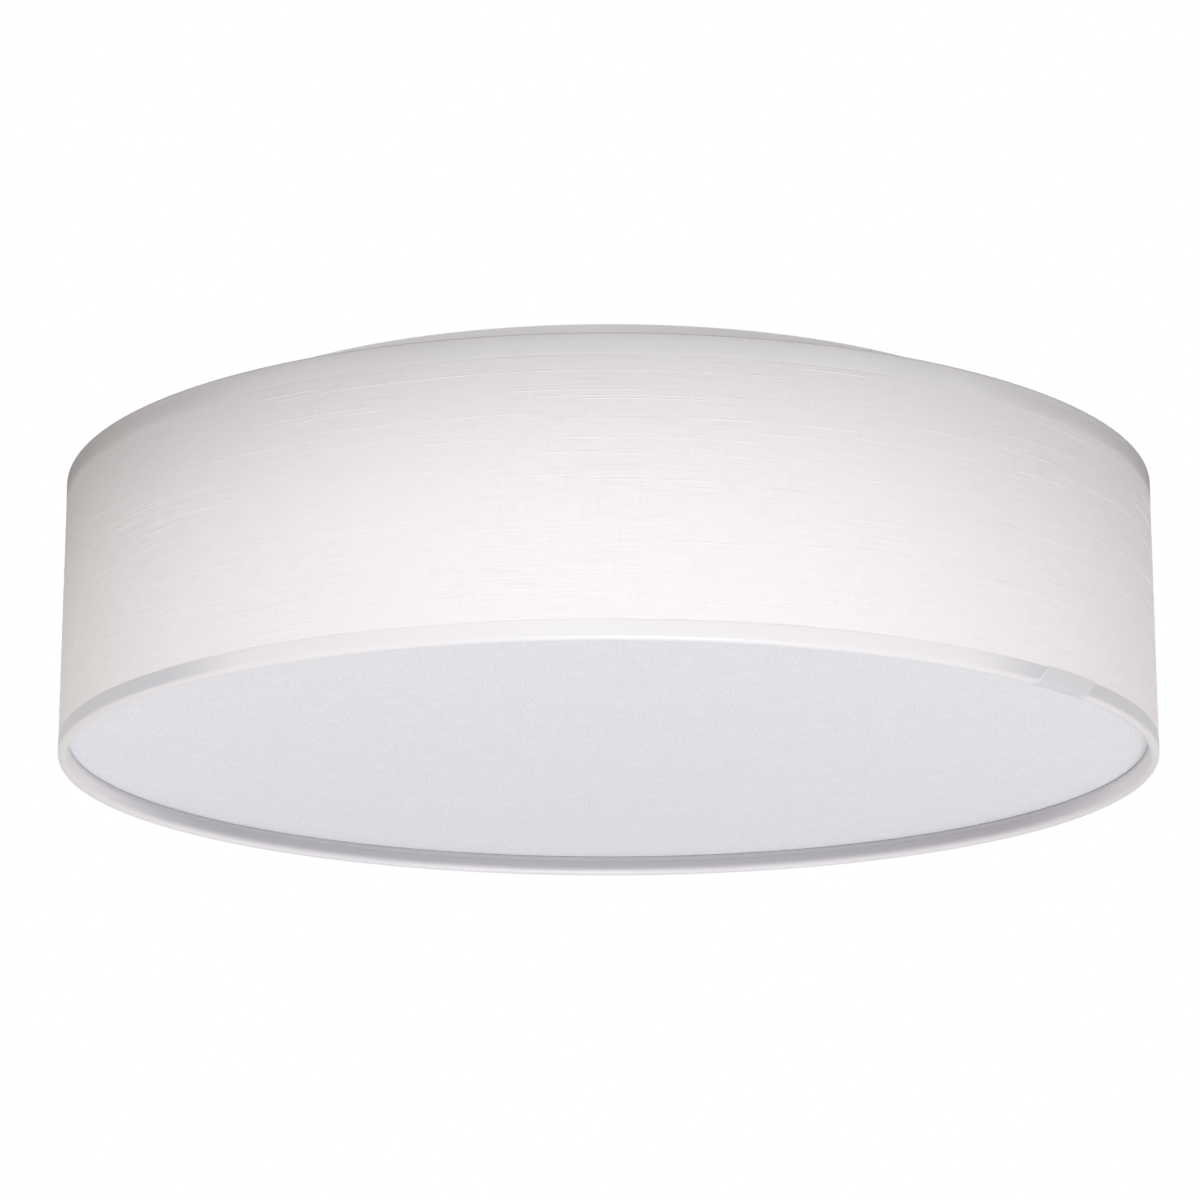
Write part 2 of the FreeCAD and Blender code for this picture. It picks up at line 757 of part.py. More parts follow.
def ring_nuts():
    group = new_body("ring_nuts")
    face = new_sketch(group, "YZ_Plane", d.bracket_at - d.lock_thick)
    draw_hexagon(face, 0, 0, d.lock_flats)
    draw_circle(face, 0, 0, d.nipple_radius + d.hole_gap)
    repeat_round(group, pad(group, face, d.lock_thick), len(lamp_turns))
    place(group, z=lamp_axis, turn=lamp_turns[1])


def lamp_holder(number, turn):
    holder = new_body(f"lamp_holder_{number}")
    hole = d.nipple_radius + d.hole_gap
    rim = d.shell_wave
    turn_about_z(holder, [
        (hole, 0),
        (d.holder_radius - rim, 0),
        (d.holder_radius, rim, rim),
        (d.holder_radius, d.holder_long * 0.55),
        (d.holder_radius - rim, d.holder_long * 0.6),
        (d.holder_radius - rim, d.holder_long - rim),
        (d.holder_radius - rim * 2, d.holder_long, rim),
        (d.holder_bore, d.holder_long),
        (d.holder_bore, d.holder_floor),
        (d.nipple_bore, d.holder_floor),
        (d.nipple_bore, d.nipple_deep + d.hole_gap),
        (hole, d.nipple_deep + d.hole_gap),
    ])
    lay_on_lamp_axis(holder, holder_back, turn)


def screw_shell(number, turn):
    shell = new_body(f"screw_shell_{number}")
    start = d.holder_floor + d.shell_start
    inside = waved(d.shell_radius, d.shell_wave, start, d.shell_turns, d.thread_pitch)
    outside = [(radius + d.shell_sheet, height) for radius, height in inside]
    turn_about_z(shell, inside + outside[::-1])
    lay_on_lamp_axis(shell, holder_back, turn)


def holder_contact(number, turn):
    """A strip on the holder's floor with a tongue raised to the bulb's tip."""
    contact = new_body(f"holder_contact_{number}")
    side = new_sketch(contact, "XZ_Plane")
    half, thick, rise = d.contact_half, d.contact_sheet, d.contact_tall + d.contact_sheet
    tongue = half * 0.3
    draw_outline(side, [
        (-half, 0), (half, 0), (half, thick), (tongue * 2, thick), (tongue, rise), (-tongue, rise),
        (-tongue, rise - thick), (tongue * 0.8, rise - thick), (tongue * 1.7, thick), (-half, thick),
    ])
    pad(contact, side, d.contact_wide, midplane=True)
    lay_on_lamp_axis(contact, holder_inner_floor, turn)


# ---- bulbs, drawn along +Z from the tip ----


def bulb_stations():
    cap_foot = d.tip_tall + d.cone_tall
    cap_top = cap_foot + d.thread_pitch * d.cap_turns
    centre = d.bulb_long - d.bulb_radius
    join = centre - d.bulb_radius * math.sqrt(1 - (d.collar_radius.value / d.bulb_radius.value) ** 2)
    return cap_foot, cap_top, centre, join


def bulb_tip(number, turn):
    tip = new_body(f"bulb_tip_{number}")
    radius, tall = d.tip_radius, d.tip_tall
    turn_about_z(tip, [(0, 0), (radius * 0.6, 0), (radius, tall * 0.6, radius), (radius, tall), (0, tall)])
    lay_on_lamp_axis(tip, bulb_tip_at, turn)


def bulb_cap(number, turn):
    cap_foot, cap_top, _, _ = bulb_stations()
    cap = new_body(f"bulb_cap_{number}")
    thread = waved(d.cap_radius - d.cap_wave, d.cap_wave, cap_foot, d.cap_turns, d.thread_pitch)
    base = [(0, d.tip_tall), (d.tip_radius, d.tip_tall)]
    turn_about_z(cap, base + thread + [(0, cap_top)])
    lay_on_lamp_axis(cap, bulb_tip_at, turn)


def bulb_housing(number, turn):
    _, cap_top, _, join = bulb_stations()
    housing = new_body(f"bulb_housing_{number}")
    neck = cap_top + d.neck_long
    turn_about_z(housing, [
        (0, cap_top),
        (d.cap_radius, cap_top),
        (d.neck_radius, neck),
        (d.collar_radius, join, -d.collar_bend),
        (0, join),
    ])
    lay_on_lamp_axis(housing, bulb_tip_at, turn)


def bulb_globe(number, turn):
    _, _, centre, join = bulb_stations()
    globe = new_body(f"bulb_globe_{number}")
    outer, wall = d.bulb_radius, d.bulb_wall
    inner = outer - wall
    foot = math.sqrt(inner.value**2 - (centre - join).value ** 2)
    turn_about_z(globe, [
        (sized(foot), join, -inner),
        (d.collar_radius, join),
        (outer, centre, outer),
        (0, centre + outer, outer),
        (0, centre + inner),
        (inner, centre, -inner),
    ])
    lay_on_lamp_axis(globe, bulb_tip_at, turn)


bulb_tip_at = holder_inner_floor + d.contact_sheet + d.contact_tall + d.contact_gap


# ---- leads, straight runs joined by tangent arcs ----


def bent_path(points):
    """Rounds each corner, within 0.45 of its shorter run."""
    edges, start = [], points[0]
    for before, corner, after in zip(points, points[1:], points[2:]):
        back, ahead = before - corner, after - corner
        shorter = min(back.Length, ahead.Length)
        back, ahead = back.normalize(), ahead.normalize()
        half_turn = (math.pi - back.getAngle(ahead)) / 2
        radius = min(shorter * 0.45 / math.tan(half_turn), d.lead_bend.value)
        cut = radius * math.tan(half_turn)
        first, last = corner + back * cut, corner + ahead * cut
        outward = (back + ahead).normalize()
        centre = corner + outward * (radius / math.cos(half_turn))
        middle = centre - outward * radius
        edges += [Part.LineSegment(start, first).toShape(), Part.Arc(first, middle, last).toShape()]
        start = last
    edges.append(Part.LineSegment(start, points[-1]).toShape())
    return Part.Wire(edges)


def lead(label, points):
    path = bent_path(points)
    ahead = (points[1] - points[0]).normalize()
    ring = Part.Wire(Part.makeCircle(d.lead_radius.value, points[0], ahead))
    tube = doc.addObject("Part::Feature", label)
    tube.Shape = path.makePipeShell([ring], True, False)
    share = tube.Shape.Volume / (path.Length * math.pi * d.lead_radius.value**2)
    print(f"{label}: {path.Length:.1f} mm, volume {share:.4f} of section times length")


def lamp_lead(label, turn, side, column, lift, entry):
    """From inside a holder, out of its nipple, up through the grommet and into its pole."""
    angle = math.radians(turn)
    out, across = Vector(math.cos(angle), math.sin(angle), 0), Vector(-math.sin(angle), math.cos(angle), 0)
    aside = across * (side * (d.nipple_bore / 2.6).value) + Vector(0, 0, lamp_axis.value)
    inner_end = (holder_inner_floor - d.contact_gap * 2).value
    mouth = (d.bracket_at - d.nipple_out).value
    level = lead_level.value
    x, y = column
    lead(label, [
        out * inner_end + aside,
        out * (mouth - d.lead_radius.value * 2) + aside,
        Vector(x, y, lamp_axis.value + lift),
        Vector(x, y, level),
        Vector(entry, -(d.block_at - d.lead_radius * 4).value, level),
        Vector(entry, (block_middle + d.pole_deep / 2 - d.entry_deep).value, level),
    ])


def lamp_leads():
    """Lives to the left pole and neutrals to the middle one, side by side in the grommet."""
    step, spread = d.entry_pitch.value, d.lead_radius.value * 2.9
    back, front = -d.lead_radius.value * 1.2, d.lead_radius.value * 2.8
    live, neutral = live_pole.value, neutral_pole.value
    near, low, high = 9, 14, 26
    routes = [
        ("live_lead_2", 210, -1, (-2.5, back), low, live - step),
        ("live_lead_3", 330, -1, (-1.5, back), near, live),
        ("live_lead_1", 90, 1, (-0.5, front), low, live + step),
        ("neutral_lead_1", 90, -1, (0.5, front), low, neutral - step),
        ("neutral_lead_2", 210, 1, (1.5, back), high, neutral),
        ("neutral_lead_3", 330, 1, (2.5, back), low, neutral + step),
    ]
    for label, turn, side, (column, row), lift, entry in routes:
        lamp_lead(label, turn, side, (column * spread, row), lift, entry)


def earth_lead():
    pole, level = earth_pole.value, lead_level.value
    inner_end = (block_middle + d.pole_deep / 2 - d.entry_deep).value
    lug = Vector(d.earth_x.value, d.earth_y.value, (pan_inside + d.lug_thick + d.lead_radius).value)
    tail = Rotation(Vector(0, 0, 1), lug_turn).multVec(Vector(1, 0, 0))
    start = (d.lug_radius + d.lug_tail * 0.4).value
    bend = (d.lug_radius + d.lug_tail * 2).value
    corner, end = Vector(pole, lug.y, level), Vector(pole, inner_end, level)
    lead("earth_lead", [lug + tail * start, lug + tail * bend, corner, end])


def build():
    shade_liner()
    shade_fabric()
    top_hem_tape()
    bottom_hem_tape()
    top_ring()
    bottom_hoop()
    diffuser()
    for number, turn in stud_turns.items():
        frame_arm(number, turn)
        thumb_nut(number, turn)
    ceiling_pan()
    lead_grommet()
    mounting_strap()
    fixings()
    shade_studs()
    terminal_block()
    terminal_poles()
    block_screw()
    earth_lug()
    holder_nipples()
    ring_nuts()
    for number, turn in lamp_turns.items():
        holder_bracket(number, turn)
        lamp_holder(number, turn)
        screw_shell(number, turn)
        holder_contact(number, turn)
        bulb_tip(number, turn)
        bulb_cap(number, turn)
        bulb_housing(number, turn)
        bulb_globe(number, turn)
    lamp_leads()
    earth_lead()
    doc.recompute()


def is_piece(item):
    return item.TypeId in ("PartDesign::Body", "Part::Torus", "Part::Feature")


def write_steps():
    os.makedirs("parts", exist_ok=True)
    faults = [f"{item.Label}: {item.State}" for item in doc.Objects if {"Invalid", "Error"} & set(item.State)]
    pieces = [item for item in doc.Objects if is_piece(item)]
    faults += [f"{p.Label}: bad shape" for p in pieces if p.Shape.isNull() or not p.Shape.isValid()]
    if faults:
        raise RuntimeError("\n".join(faults))
    for piece in pieces:
        print(f"{piece.Label}: {len(piece.Shape.Solids)} solid(s), {piece.Shape.Volume:.0f} cubic mm")
        piece.Shape.exportStep(f"parts/{piece.Label}.step")


build()
write_steps()
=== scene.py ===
import json
import math
import random

import bmesh
import bpy
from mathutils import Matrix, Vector


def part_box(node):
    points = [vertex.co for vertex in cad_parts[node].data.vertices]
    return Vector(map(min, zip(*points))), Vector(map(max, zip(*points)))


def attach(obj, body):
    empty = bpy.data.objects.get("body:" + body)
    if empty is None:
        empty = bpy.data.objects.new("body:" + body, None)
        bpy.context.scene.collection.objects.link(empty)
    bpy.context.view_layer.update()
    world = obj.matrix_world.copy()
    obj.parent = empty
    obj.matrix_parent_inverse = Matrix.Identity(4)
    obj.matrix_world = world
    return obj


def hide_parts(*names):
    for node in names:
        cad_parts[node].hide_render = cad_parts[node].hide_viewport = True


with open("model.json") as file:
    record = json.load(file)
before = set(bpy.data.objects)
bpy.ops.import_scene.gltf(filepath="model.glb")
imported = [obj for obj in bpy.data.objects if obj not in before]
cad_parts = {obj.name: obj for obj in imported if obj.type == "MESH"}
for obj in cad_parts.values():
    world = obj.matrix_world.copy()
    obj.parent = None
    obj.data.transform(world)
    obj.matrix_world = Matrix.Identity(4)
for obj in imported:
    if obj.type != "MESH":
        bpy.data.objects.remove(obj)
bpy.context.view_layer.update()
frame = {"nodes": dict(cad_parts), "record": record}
nodes = frame["nodes"]
mm = 0.001
print("frame loaded:", len(nodes), "nodes")


def hexColour(text):  # sRGB hex to the linear values that shaders take
    channels = [int(text[i : i + 2], 16) / 255 for i in (1, 3, 5)]
    linear = [c / 12.92 if c <= 0.04045 else ((c + 0.055) / 1.055) ** 2.4 for c in channels]
    return (*linear, 1.0)


def addNode(tree, kind, settings=None, **links):
    # links: an input's name with underscores, or i and its number, to a value or another node's socket
    node = tree.nodes.new(kind)
    for name, value in (settings or {}).items():
        setattr(node, name, value)
    for name, value in links.items():
        numbered = name[0] == "i" and name[1:].isdigit()
        socket = node.inputs[int(name[1:]) if numbered else name.replace("_", " ")]
        if isinstance(value, bpy.types.NodeSocket):
            tree.links.new(value, socket)
        else:
            socket.default_value = value
    return node


# what a math node does
plus, minus, times = {"operation": "ADD"}, {"operation": "SUBTRACT"}, {"operation": "MULTIPLY"}
timesPlus = {"operation": "MULTIPLY_ADD"}


def newMaterial(name):
    material = bpy.data.materials.new(name)
    material.use_nodes = True
    tree = material.node_tree
    tree.nodes.clear()
    return material, tree


def finishMaterial(tree, shader):
    addNode(tree, "ShaderNodeOutputMaterial", Surface=shader.outputs[0])


def blend(tree, factor, first, second):  # a colour between two sRGB hex colours or sockets
    mix = addNode(tree, "ShaderNodeMix", {"data_type": "RGBA"}, i0=factor)
    for index, colour in ((6, first), (7, second)):
        if isinstance(colour, str):
            mix.inputs[index].default_value = hexColour(colour)
        else:
            tree.links.new(colour, mix.inputs[index])
    return mix.outputs[2]


def ramp(tree, value, low, high):  # 0 at low, 1 at high, smooth between
    node = addNode(tree, "ShaderNodeMapRange", {"interpolation_type": "SMOOTHSTEP"}, Value=value)
    node.inputs["From Min"].default_value = low
    node.inputs["From Max"].default_value = high
    return node.outputs["Result"]


def grain(tree, coordinates, size, detail=2.0, stretch=(1, 1, 1)):  # noise whose grains are size metres wide
    scale = tuple(1 / (size * s) for s in stretch)
    mapping = addNode(tree, "ShaderNodeMapping", Vector=coordinates, Scale=scale)
    return addNode(tree, "ShaderNodeTexNoise", Vector=mapping.outputs[0], Scale=1.0, Detail=detail).outputs[0]


def meshObject(name, vertices, faces, material, uvs=None, smooth=True):
    mesh = bpy.data.meshes.new(name)
    mesh.from_pydata(vertices, [], faces)
    mesh.update()
    if uvs:
        layer = mesh.uv_layers.new(name="cloth")
        for loop in mesh.loops:
            layer.data[loop.index].uv = uvs[loop.vertex_index]
    mesh.materials.append(material)
    for face in mesh.polygons:
        face.use_smooth = smooth
    piece = bpy.data.objects.new(name, mesh)
    bpy.context.scene.collection.objects.link(piece)
    return piece


def setOutward(piece):  # a closed mesh whose faces point inwards is turned round
    shell = bmesh.new()
    shell.from_mesh(piece.data)
    if shell.calc_volume(signed=True) < 0:
        bmesh.ops.reverse_faces(shell, faces=shell.faces)
    shell.to_mesh(piece.data)
    shell.free()


def sweepRound(name, angles, outlineAt, material, joined=False):
    # a closed outline of (radius, height) carried through the angles, its ends capped or joined in a ring
    vertices, uvs, faces = [], [], []
    for angle in angles:
        outline = outlineAt(angle)
        along = 0.0
        for index, (radius, height) in enumerate(outline):
            vertices.append((radius * math.cos(angle), radius * math.sin(angle), height))
            along += math.dist(outline[index - 1], (radius, height)) if index else 0
            uvs.append((angle * shade["radius"], along))
    count = len(outline)
    rows = len(angles)
    for row in range(rows - 1):
        here, ahead = row * count, (0 if joined and row == rows - 2 else (row + 1) * count)
        for index in range(count):
            after = (index + 1) % count
            faces.append((here + index, ahead + index, ahead + after, here + after))
    if joined:
        piece = meshObject(name, vertices[:-count], faces, material, uvs)
        last = [loop for face in piece.data.polygons[-count:] for loop in face.loop_indices]
        for loop in last:  # the cloth's own coordinates run on to the end of the last strip
            if piece.data.loops[loop].vertex_index < count:
                piece.data.uv_layers[0].data[loop].uv[0] = angles[-1] * shade["radius"]
    else:
        faces.append(tuple(range(count)))
        faces.append(tuple(reversed(range((rows - 1) * count, rows * count))))
        piece = meshObject(name, vertices, faces, material, uvs)
        for cap in piece.data.polygons[-2:]:
            cap.use_smooth = False
    setOutward(piece)
    return piece


def newTree(name, inputs):  # a Geometry Nodes tree with named inputs and one geometry output
    tree = bpy.data.node_groups.new(name, "GeometryNodeTree")
    tree.interface.new_socket("Geometry", in_out="INPUT", socket_type="NodeSocketGeometry")
    kinds = {int: "NodeSocketInt", float: "NodeSocketFloat", "material": "NodeSocketMaterial"}
    for label, kind in inputs.items():
        tree.interface.new_socket(label, in_out="INPUT", socket_type=kinds[kind])
    tree.interface.new_socket("Geometry", in_out="OUTPUT", socket_type="NodeSocketGeometry")
    return tree, tree.nodes.new("NodeGroupInput")


def finishTree(tree, geometry, material):
    real = addNode(tree, "GeometryNodeRealizeInstances", Geometry=geometry)
    painted = addNode(tree, "GeometryNodeSetMaterial", Geometry=real.outputs[0], Material=material)
    smooth = addNode(tree, "GeometryNodeSetShadeSmooth", Geometry=painted.outputs[0])
    out = tree.nodes.new("NodeGroupOutput")
    tree.links.new(smooth.outputs[0], out.inputs[0])


def growWith(name, tree, values, points=((0, 0, 0),)):
    # runs the tree on an object that has these points, and keeps the result as a plain mesh
    seed = bpy.data.meshes.new(name + "Seed")
    seed.from_pydata([tuple(p) for p in points], [], [])
    holder = bpy.data.objects.new(name + "Seed", seed)
    bpy.context.scene.collection.objects.link(holder)
    modifier = holder.modifiers.new("grow", "NODES")
    modifier.node_group = tree
    for item in tree.interface.items_tree:
        if item.in_out == "INPUT" and item.name in values:
            modifier[item.identifier] = values[item.name]
    bpy.context.view_layer.update()
    mesh = bpy.data.meshes.new_from_object(holder.evaluated_get(bpy.context.evaluated_depsgraph_get()))
    bpy.data.objects.remove(holder)
    piece = bpy.data.objects.new(name, mesh)
    mesh.name = name
    bpy.context.scene.collection.objects.link(piece)
    return piece


def sharpenEdges(piece, angle=40):  # edges that turn by more than the angle keep a crisp shading
    shell = bmesh.new()
    shell.from_mesh(piece.data)
    for edge in shell.edges:
        edge.smooth = len(edge.link_faces) == 2 and edge.calc_face_angle(0) < math.radians(angle)
    shell.to_mesh(piece.data)
    shell.free()


# the photograph's own place, fitted to the light's four rims
cameraFacts = {
    "distance": 1.444,  # in front of the light's axis
    "below": 0.432,  # below the ceiling
    "pitch": 14.73,  # upwards, degrees
    "yaw": 0.1228,
    "sensor": 36,  # mm wide
    "photoWidth": 1200,  # pixels
    "focalPixels": 4033,
    "nearest": 0.05,
}


def makeCamera():
    data = bpy.data.cameras.new("camera")
    data.sensor_width = cameraFacts["sensor"]
    data.lens = cameraFacts["focalPixels"] / cameraFacts["photoWidth"] * cameraFacts["sensor"]
    data.clip_start = cameraFacts["nearest"]
    camera = bpy.data.objects.new("camera", data)
    camera.location = (0, -cameraFacts["distance"], -cameraFacts["below"])
    camera.rotation_euler = (math.radians(90 + cameraFacts["pitch"]), 0, math.radians(cameraFacts["yaw"]))
    bpy.context.scene.collection.objects.link(camera)
    bpy.context.scene.camera = camera


makeCamera()


studio = {
    "roomLight": 0.66,
    "roomColour": "#FFF8F1",
    "key": {"place": (0.37, -2.17, -1.75), "size": 1.1, "power": 34.5, "colour": "#ECF1FF"},
    "fill": {"place": (-0.5, -1.9, 1.2), "size": 1.2, "power": 9, "colour": "#ECF1FF"},
    "aim": (0, 0, -0.06),  # both softboxes face the middle of the drum
    "floorLevel": -2.5,
    "floorReach": 40,
    "floorColour": "#F1F1F2",
    "rim": (0.203, 0.265),  # inside and outside radius of the dark rim on the ceiling
    "rimSides": 96,
    "rimColour": "#3C3C3C",
}


def makeWorld():
    world = bpy.data.worlds.new("studio")
    world.use_nodes = True
    tree = world.node_tree
    tree.nodes.clear()
    rays = addNode(tree, "ShaderNodeLightPath").outputs
    either = {"operation": "MAXIMUM"}
    seen = addNode(tree, "ShaderNodeMath", either, i0=rays["Is Camera Ray"], i1=rays["Is Glossy Ray"])
    seen = addNode(tree, "ShaderNodeMath", either, i0=seen.outputs[0], i1=rays["Is Transmission Ray"])
    roomColour = hexColour(studio["roomColour"])
    room = addNode(tree, "ShaderNodeBackground", Color=roomColour, Strength=studio["roomLight"])
    white = addNode(tree, "ShaderNodeBackground", Color=(1, 1, 1, 1), Strength=1.0)
    mix = addNode(tree, "ShaderNodeMixShader", i0=seen.outputs[0], i1=room.outputs[0], i2=white.outputs[0])
    addNode(tree, "ShaderNodeOutputWorld", Surface=mix.outputs[0])
    bpy.context.scene.world = world


def makeSoftbox(name, facts):
    data = bpy.data.lights.new(name, "AREA")
    data.shape = "SQUARE"
    data.size = facts["size"]
    data.energy = facts["power"]
    data.color = hexColour(facts["colour"])[:3]
    lamp = bpy.data.objects.new(name, data)
    lamp.location = facts["place"]
    lamp.rotation_euler = (Vector(studio["aim"]) - lamp.location).to_track_quat("-Z", "Y").to_euler()
    bpy.context.scene.collection.objects.link(lamp)


def makeFloor():
    level, reach = studio["floorLevel"], studio["floorReach"]
    corners = [(-reach, -reach, level), (reach, -reach, level), (reach, reach, level), (-reach, reach, level)]
    material, tree = newMaterial("paleStudioFloor")
    colour = hexColour(studio["floorColour"])
    finishMaterial(tree, addNode(tree, "ShaderNodeBsdfPrincipled", Base_Color=colour, Roughness=0.9))
    meshObject("studioFloor", corners, [(0, 1, 2, 3)], material, smooth=False)


def makeCeilingRim():
    # a dark rim round the light, seen by no camera, shades the top of the drum as a ceiling does
    sides = studio["rimSides"]
    turns = [math.tau * step / sides for step in range(sides)]
    ring = [(r * math.cos(t), r * math.sin(t), mm) for r in studio["rim"] for t in turns]
    faces = [(i, sides + i, sides + (i + 1) % sides, (i + 1) % sides) for i in range(sides)]
    material, tree = newMaterial("darkCeilingRim")
    finishMaterial(tree, addNode(tree, "ShaderNodeBsdfDiffuse", Color=hexColour(studio["rimColour"])))
    rim = meshObject("ceilingRim", ring, faces, material, smooth=False)
    rim.visible_camera = False


makeWorld()
makeCeilingRim()
makeSoftbox("keySoftbox", studio["key"])
makeSoftbox("fillSoftbox", studio["fill"])
makeFloor()
bpy.context.scene.view_settings.view_transform = "Standard"
print("studio ready")


lampHeadings = (90, 210, 330)  # the way each lamp points, degrees from +X
shade = {
    "radius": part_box("bottom_hem_tape")[1][0],  # outside of the hem tapes
    "top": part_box("top_hem_tape")[1][2],
    "bottom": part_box("bottom_hem_tape")[0][2],
    "topHem": 8 * mm,
    "bottomHem": 7.2 * mm,
    "tape": 0.3 * mm,  # thickness of the hem tapes
    "proud": 0.07 * mm,  # the cloth's face lies this far inside the tapes' faces
    "glue": 0.05 * mm,  # the glue's gap between the shade's layers; in the tape tones the same key gives where their painted shade starts and ends
}

# where the bottom tape's ends lap, between two slanting creases
splice = {
    "places": (-44.6, -36.7),  # of the two creases at the drum's foot, degrees from +X
    "faint": -50.4,  # a fainter mark beside them
    "slant": 1.0,  # metres round the drum for each metre up
    "lift": 0.09 * mm,  # of the lapped part
    "ease": 0.5 * mm,  # the lift comes in over this length
    "crease": 0.16 * mm,  # height of each crease
    "creaseReach": 0.7 * mm,
    "within": 0.06,  # finer steps within this angle of a crease, radians
}


def angleSteps(start, end, coarse, fine, near, within):
    # angles from start to end, closer together within a distance of the places in near
    angles, angle = [start], start
    while angle < end:
        close = any(abs(angle - place) < within for place in near)
        angle = min(angle + (fine if close else coarse), end)
        angles.append(angle)
    return angles


def smoothStep(low, high, value):
    share = min(max((value - low) / (high - low), 0), 1)
    return share * share * (3 - 2 * share)


def ripple(seed, waves, amount):
    # a gentle unevenness round the drum, as a sum of a few whole waves
    chance = random.Random(seed)
    terms = [(n, chance.uniform(0, math.tau), chance.uniform(0.4, 1)) for n in waves]

    def heightAt(angle):
        return amount * sum(size * math.sin(n * angle + phase) for n, phase, size in terms) / len(terms)

    return heightAt


def slubCloth():
    # plain-woven cotton shantung: matte, fine uneven weft lines, weaker warp lines
    # the weave is drawn at about 0.7 mm, twice its real spacing, so that it shows
    material, tree = newMaterial("slubShantung")
    place = addNode(tree, "ShaderNodeUVMap", {"uv_map": "cloth"}).outputs[0]
    weft = grain(tree, place, 0.75 * mm, 1.5, (15, 1, 1))
    warp = grain(tree, place, 0.7 * mm, 1.0, (1, 14, 1))
    streak = grain(tree, place, 1.1 * mm, 2.0, (40, 1, 1))
    cloud = grain(tree, place, 60 * mm, 2.0)
    weave = addNode(tree, "ShaderNodeMath", timesPlus, i0=warp, i1=0.6, i2=weft).outputs[0]
    proud = ramp(tree, streak, 0.56, 0.72)
    height = addNode(tree, "ShaderNodeMath", timesPlus, i0=proud, i1=0.9, i2=weave)
    colour = blend(tree, ramp(tree, weave, 0.5, 0.95), "#F4F1F1", "#F9F7F7")
    colour = blend(tree, ramp(tree, streak, 0.6, 0.76), colour, "#F0EDED")
    colour = blend(tree, ramp(tree, cloud, 0.45, 0.75), colour, "#F7F5F5")
    bump = addNode(tree, "ShaderNodeBump", Strength=0.36, Distance=0.024 * mm, Height=height.outputs[0])
    shader = addNode(
        tree, "ShaderNodeBsdfPrincipled", Base_Color=colour, Roughness=0.88, Normal=bump.outputs[0],
        Sheen_Weight=0.25, Sheen_Roughness=0.5, Specular_IOR_Level=0.25,
    )
    finishMaterial(tree, shader)
    return material


def slubYarn():
    # the same cotton where a yarn is thick: a little lighter, as it stands up to the light
    material, tree = newMaterial("slubYarn")
    place = addNode(tree, "ShaderNodeTexCoord").outputs["Object"]
    twist = grain(tree, place, 0.5 * mm, 1.0)
    shader = addNode(
        tree, "ShaderNodeBsdfPrincipled", Base_Color=blend(tree, twist, "#F6F4F4", "#FFFEFE"), Roughness=0.85,
        Sheen_Weight=0.25, Sheen_Roughness=0.5, Specular_IOR_Level=0.25,
    )
    finishMaterial(tree, shader)
    return material


satin = {
    "thread": 0.7 * mm,  # coarser than the real thread, so that it shows
    "cloud": 18 * mm,
    "sideShade": (0.165, 0.132),  # metres off the drum's middle: where the painted shade of the drum's sides starts and is full
    "face": (6.5 * mm, 5 * mm),  # the painted side shade fades out between these, round the tape's outline
    "lapEdges": (0.4 * mm, 3 * mm),  # the lap's tone comes in and goes out over these lengths
    "mark": 0.3 * mm,  # half the width of a crease's mark
    "faint": 0.5 * mm,
    # a painted shadow along the cut edge: full up to the second length round the outline, gone at the first
    "edgeShadow": (0.6 * mm, 0.45 * mm),
    "glueEdges": (3 * mm, 2 * mm),  # the painted shade on the folded inside comes in, and its tones change, over these lengths
    "gluedFrom": (0.02, 0.13),  # metres off the drum's middle: where the painted shade on the folded inside starts and is full
    # painted shade on the folded inside: the darker tone deep in, the lighter one at its end under the
    # diffuser
    "gluedTones": ("#B4B1B5", "#DCD9DC"),
}
tapeTones = {
    # face and cloud: the satin's own tones; then painted shade towards the drum's sides; lap and mark: where
    # the ends lap
    # edge: painted shadow along the cut edge; last, start and end of the painted shade on the folded inside,
    # metres round the tape's outline
    "top": {
        "face": ("#F3F1F1", "#F7F5F5"), "cloud": "#F8F6F6", "sideShade": "#ECEAEA", "lap": "#F1EFEF",
        "mark": "#F8F6F6", "edge": "#DEDBDB", "glue": (30 * mm, 40 * mm),
    },
    "bottom": {
        "face": ("#E9E7E7", "#EDEBEB"), "cloud": "#EFEDED", "sideShade": "#D1D2D6", "lap": "#DCDCDF",
        "mark": "#EDECEC", "edge": "#E6E4E5", "glue": (9.6 * mm, 16.2 * mm),
    },
}


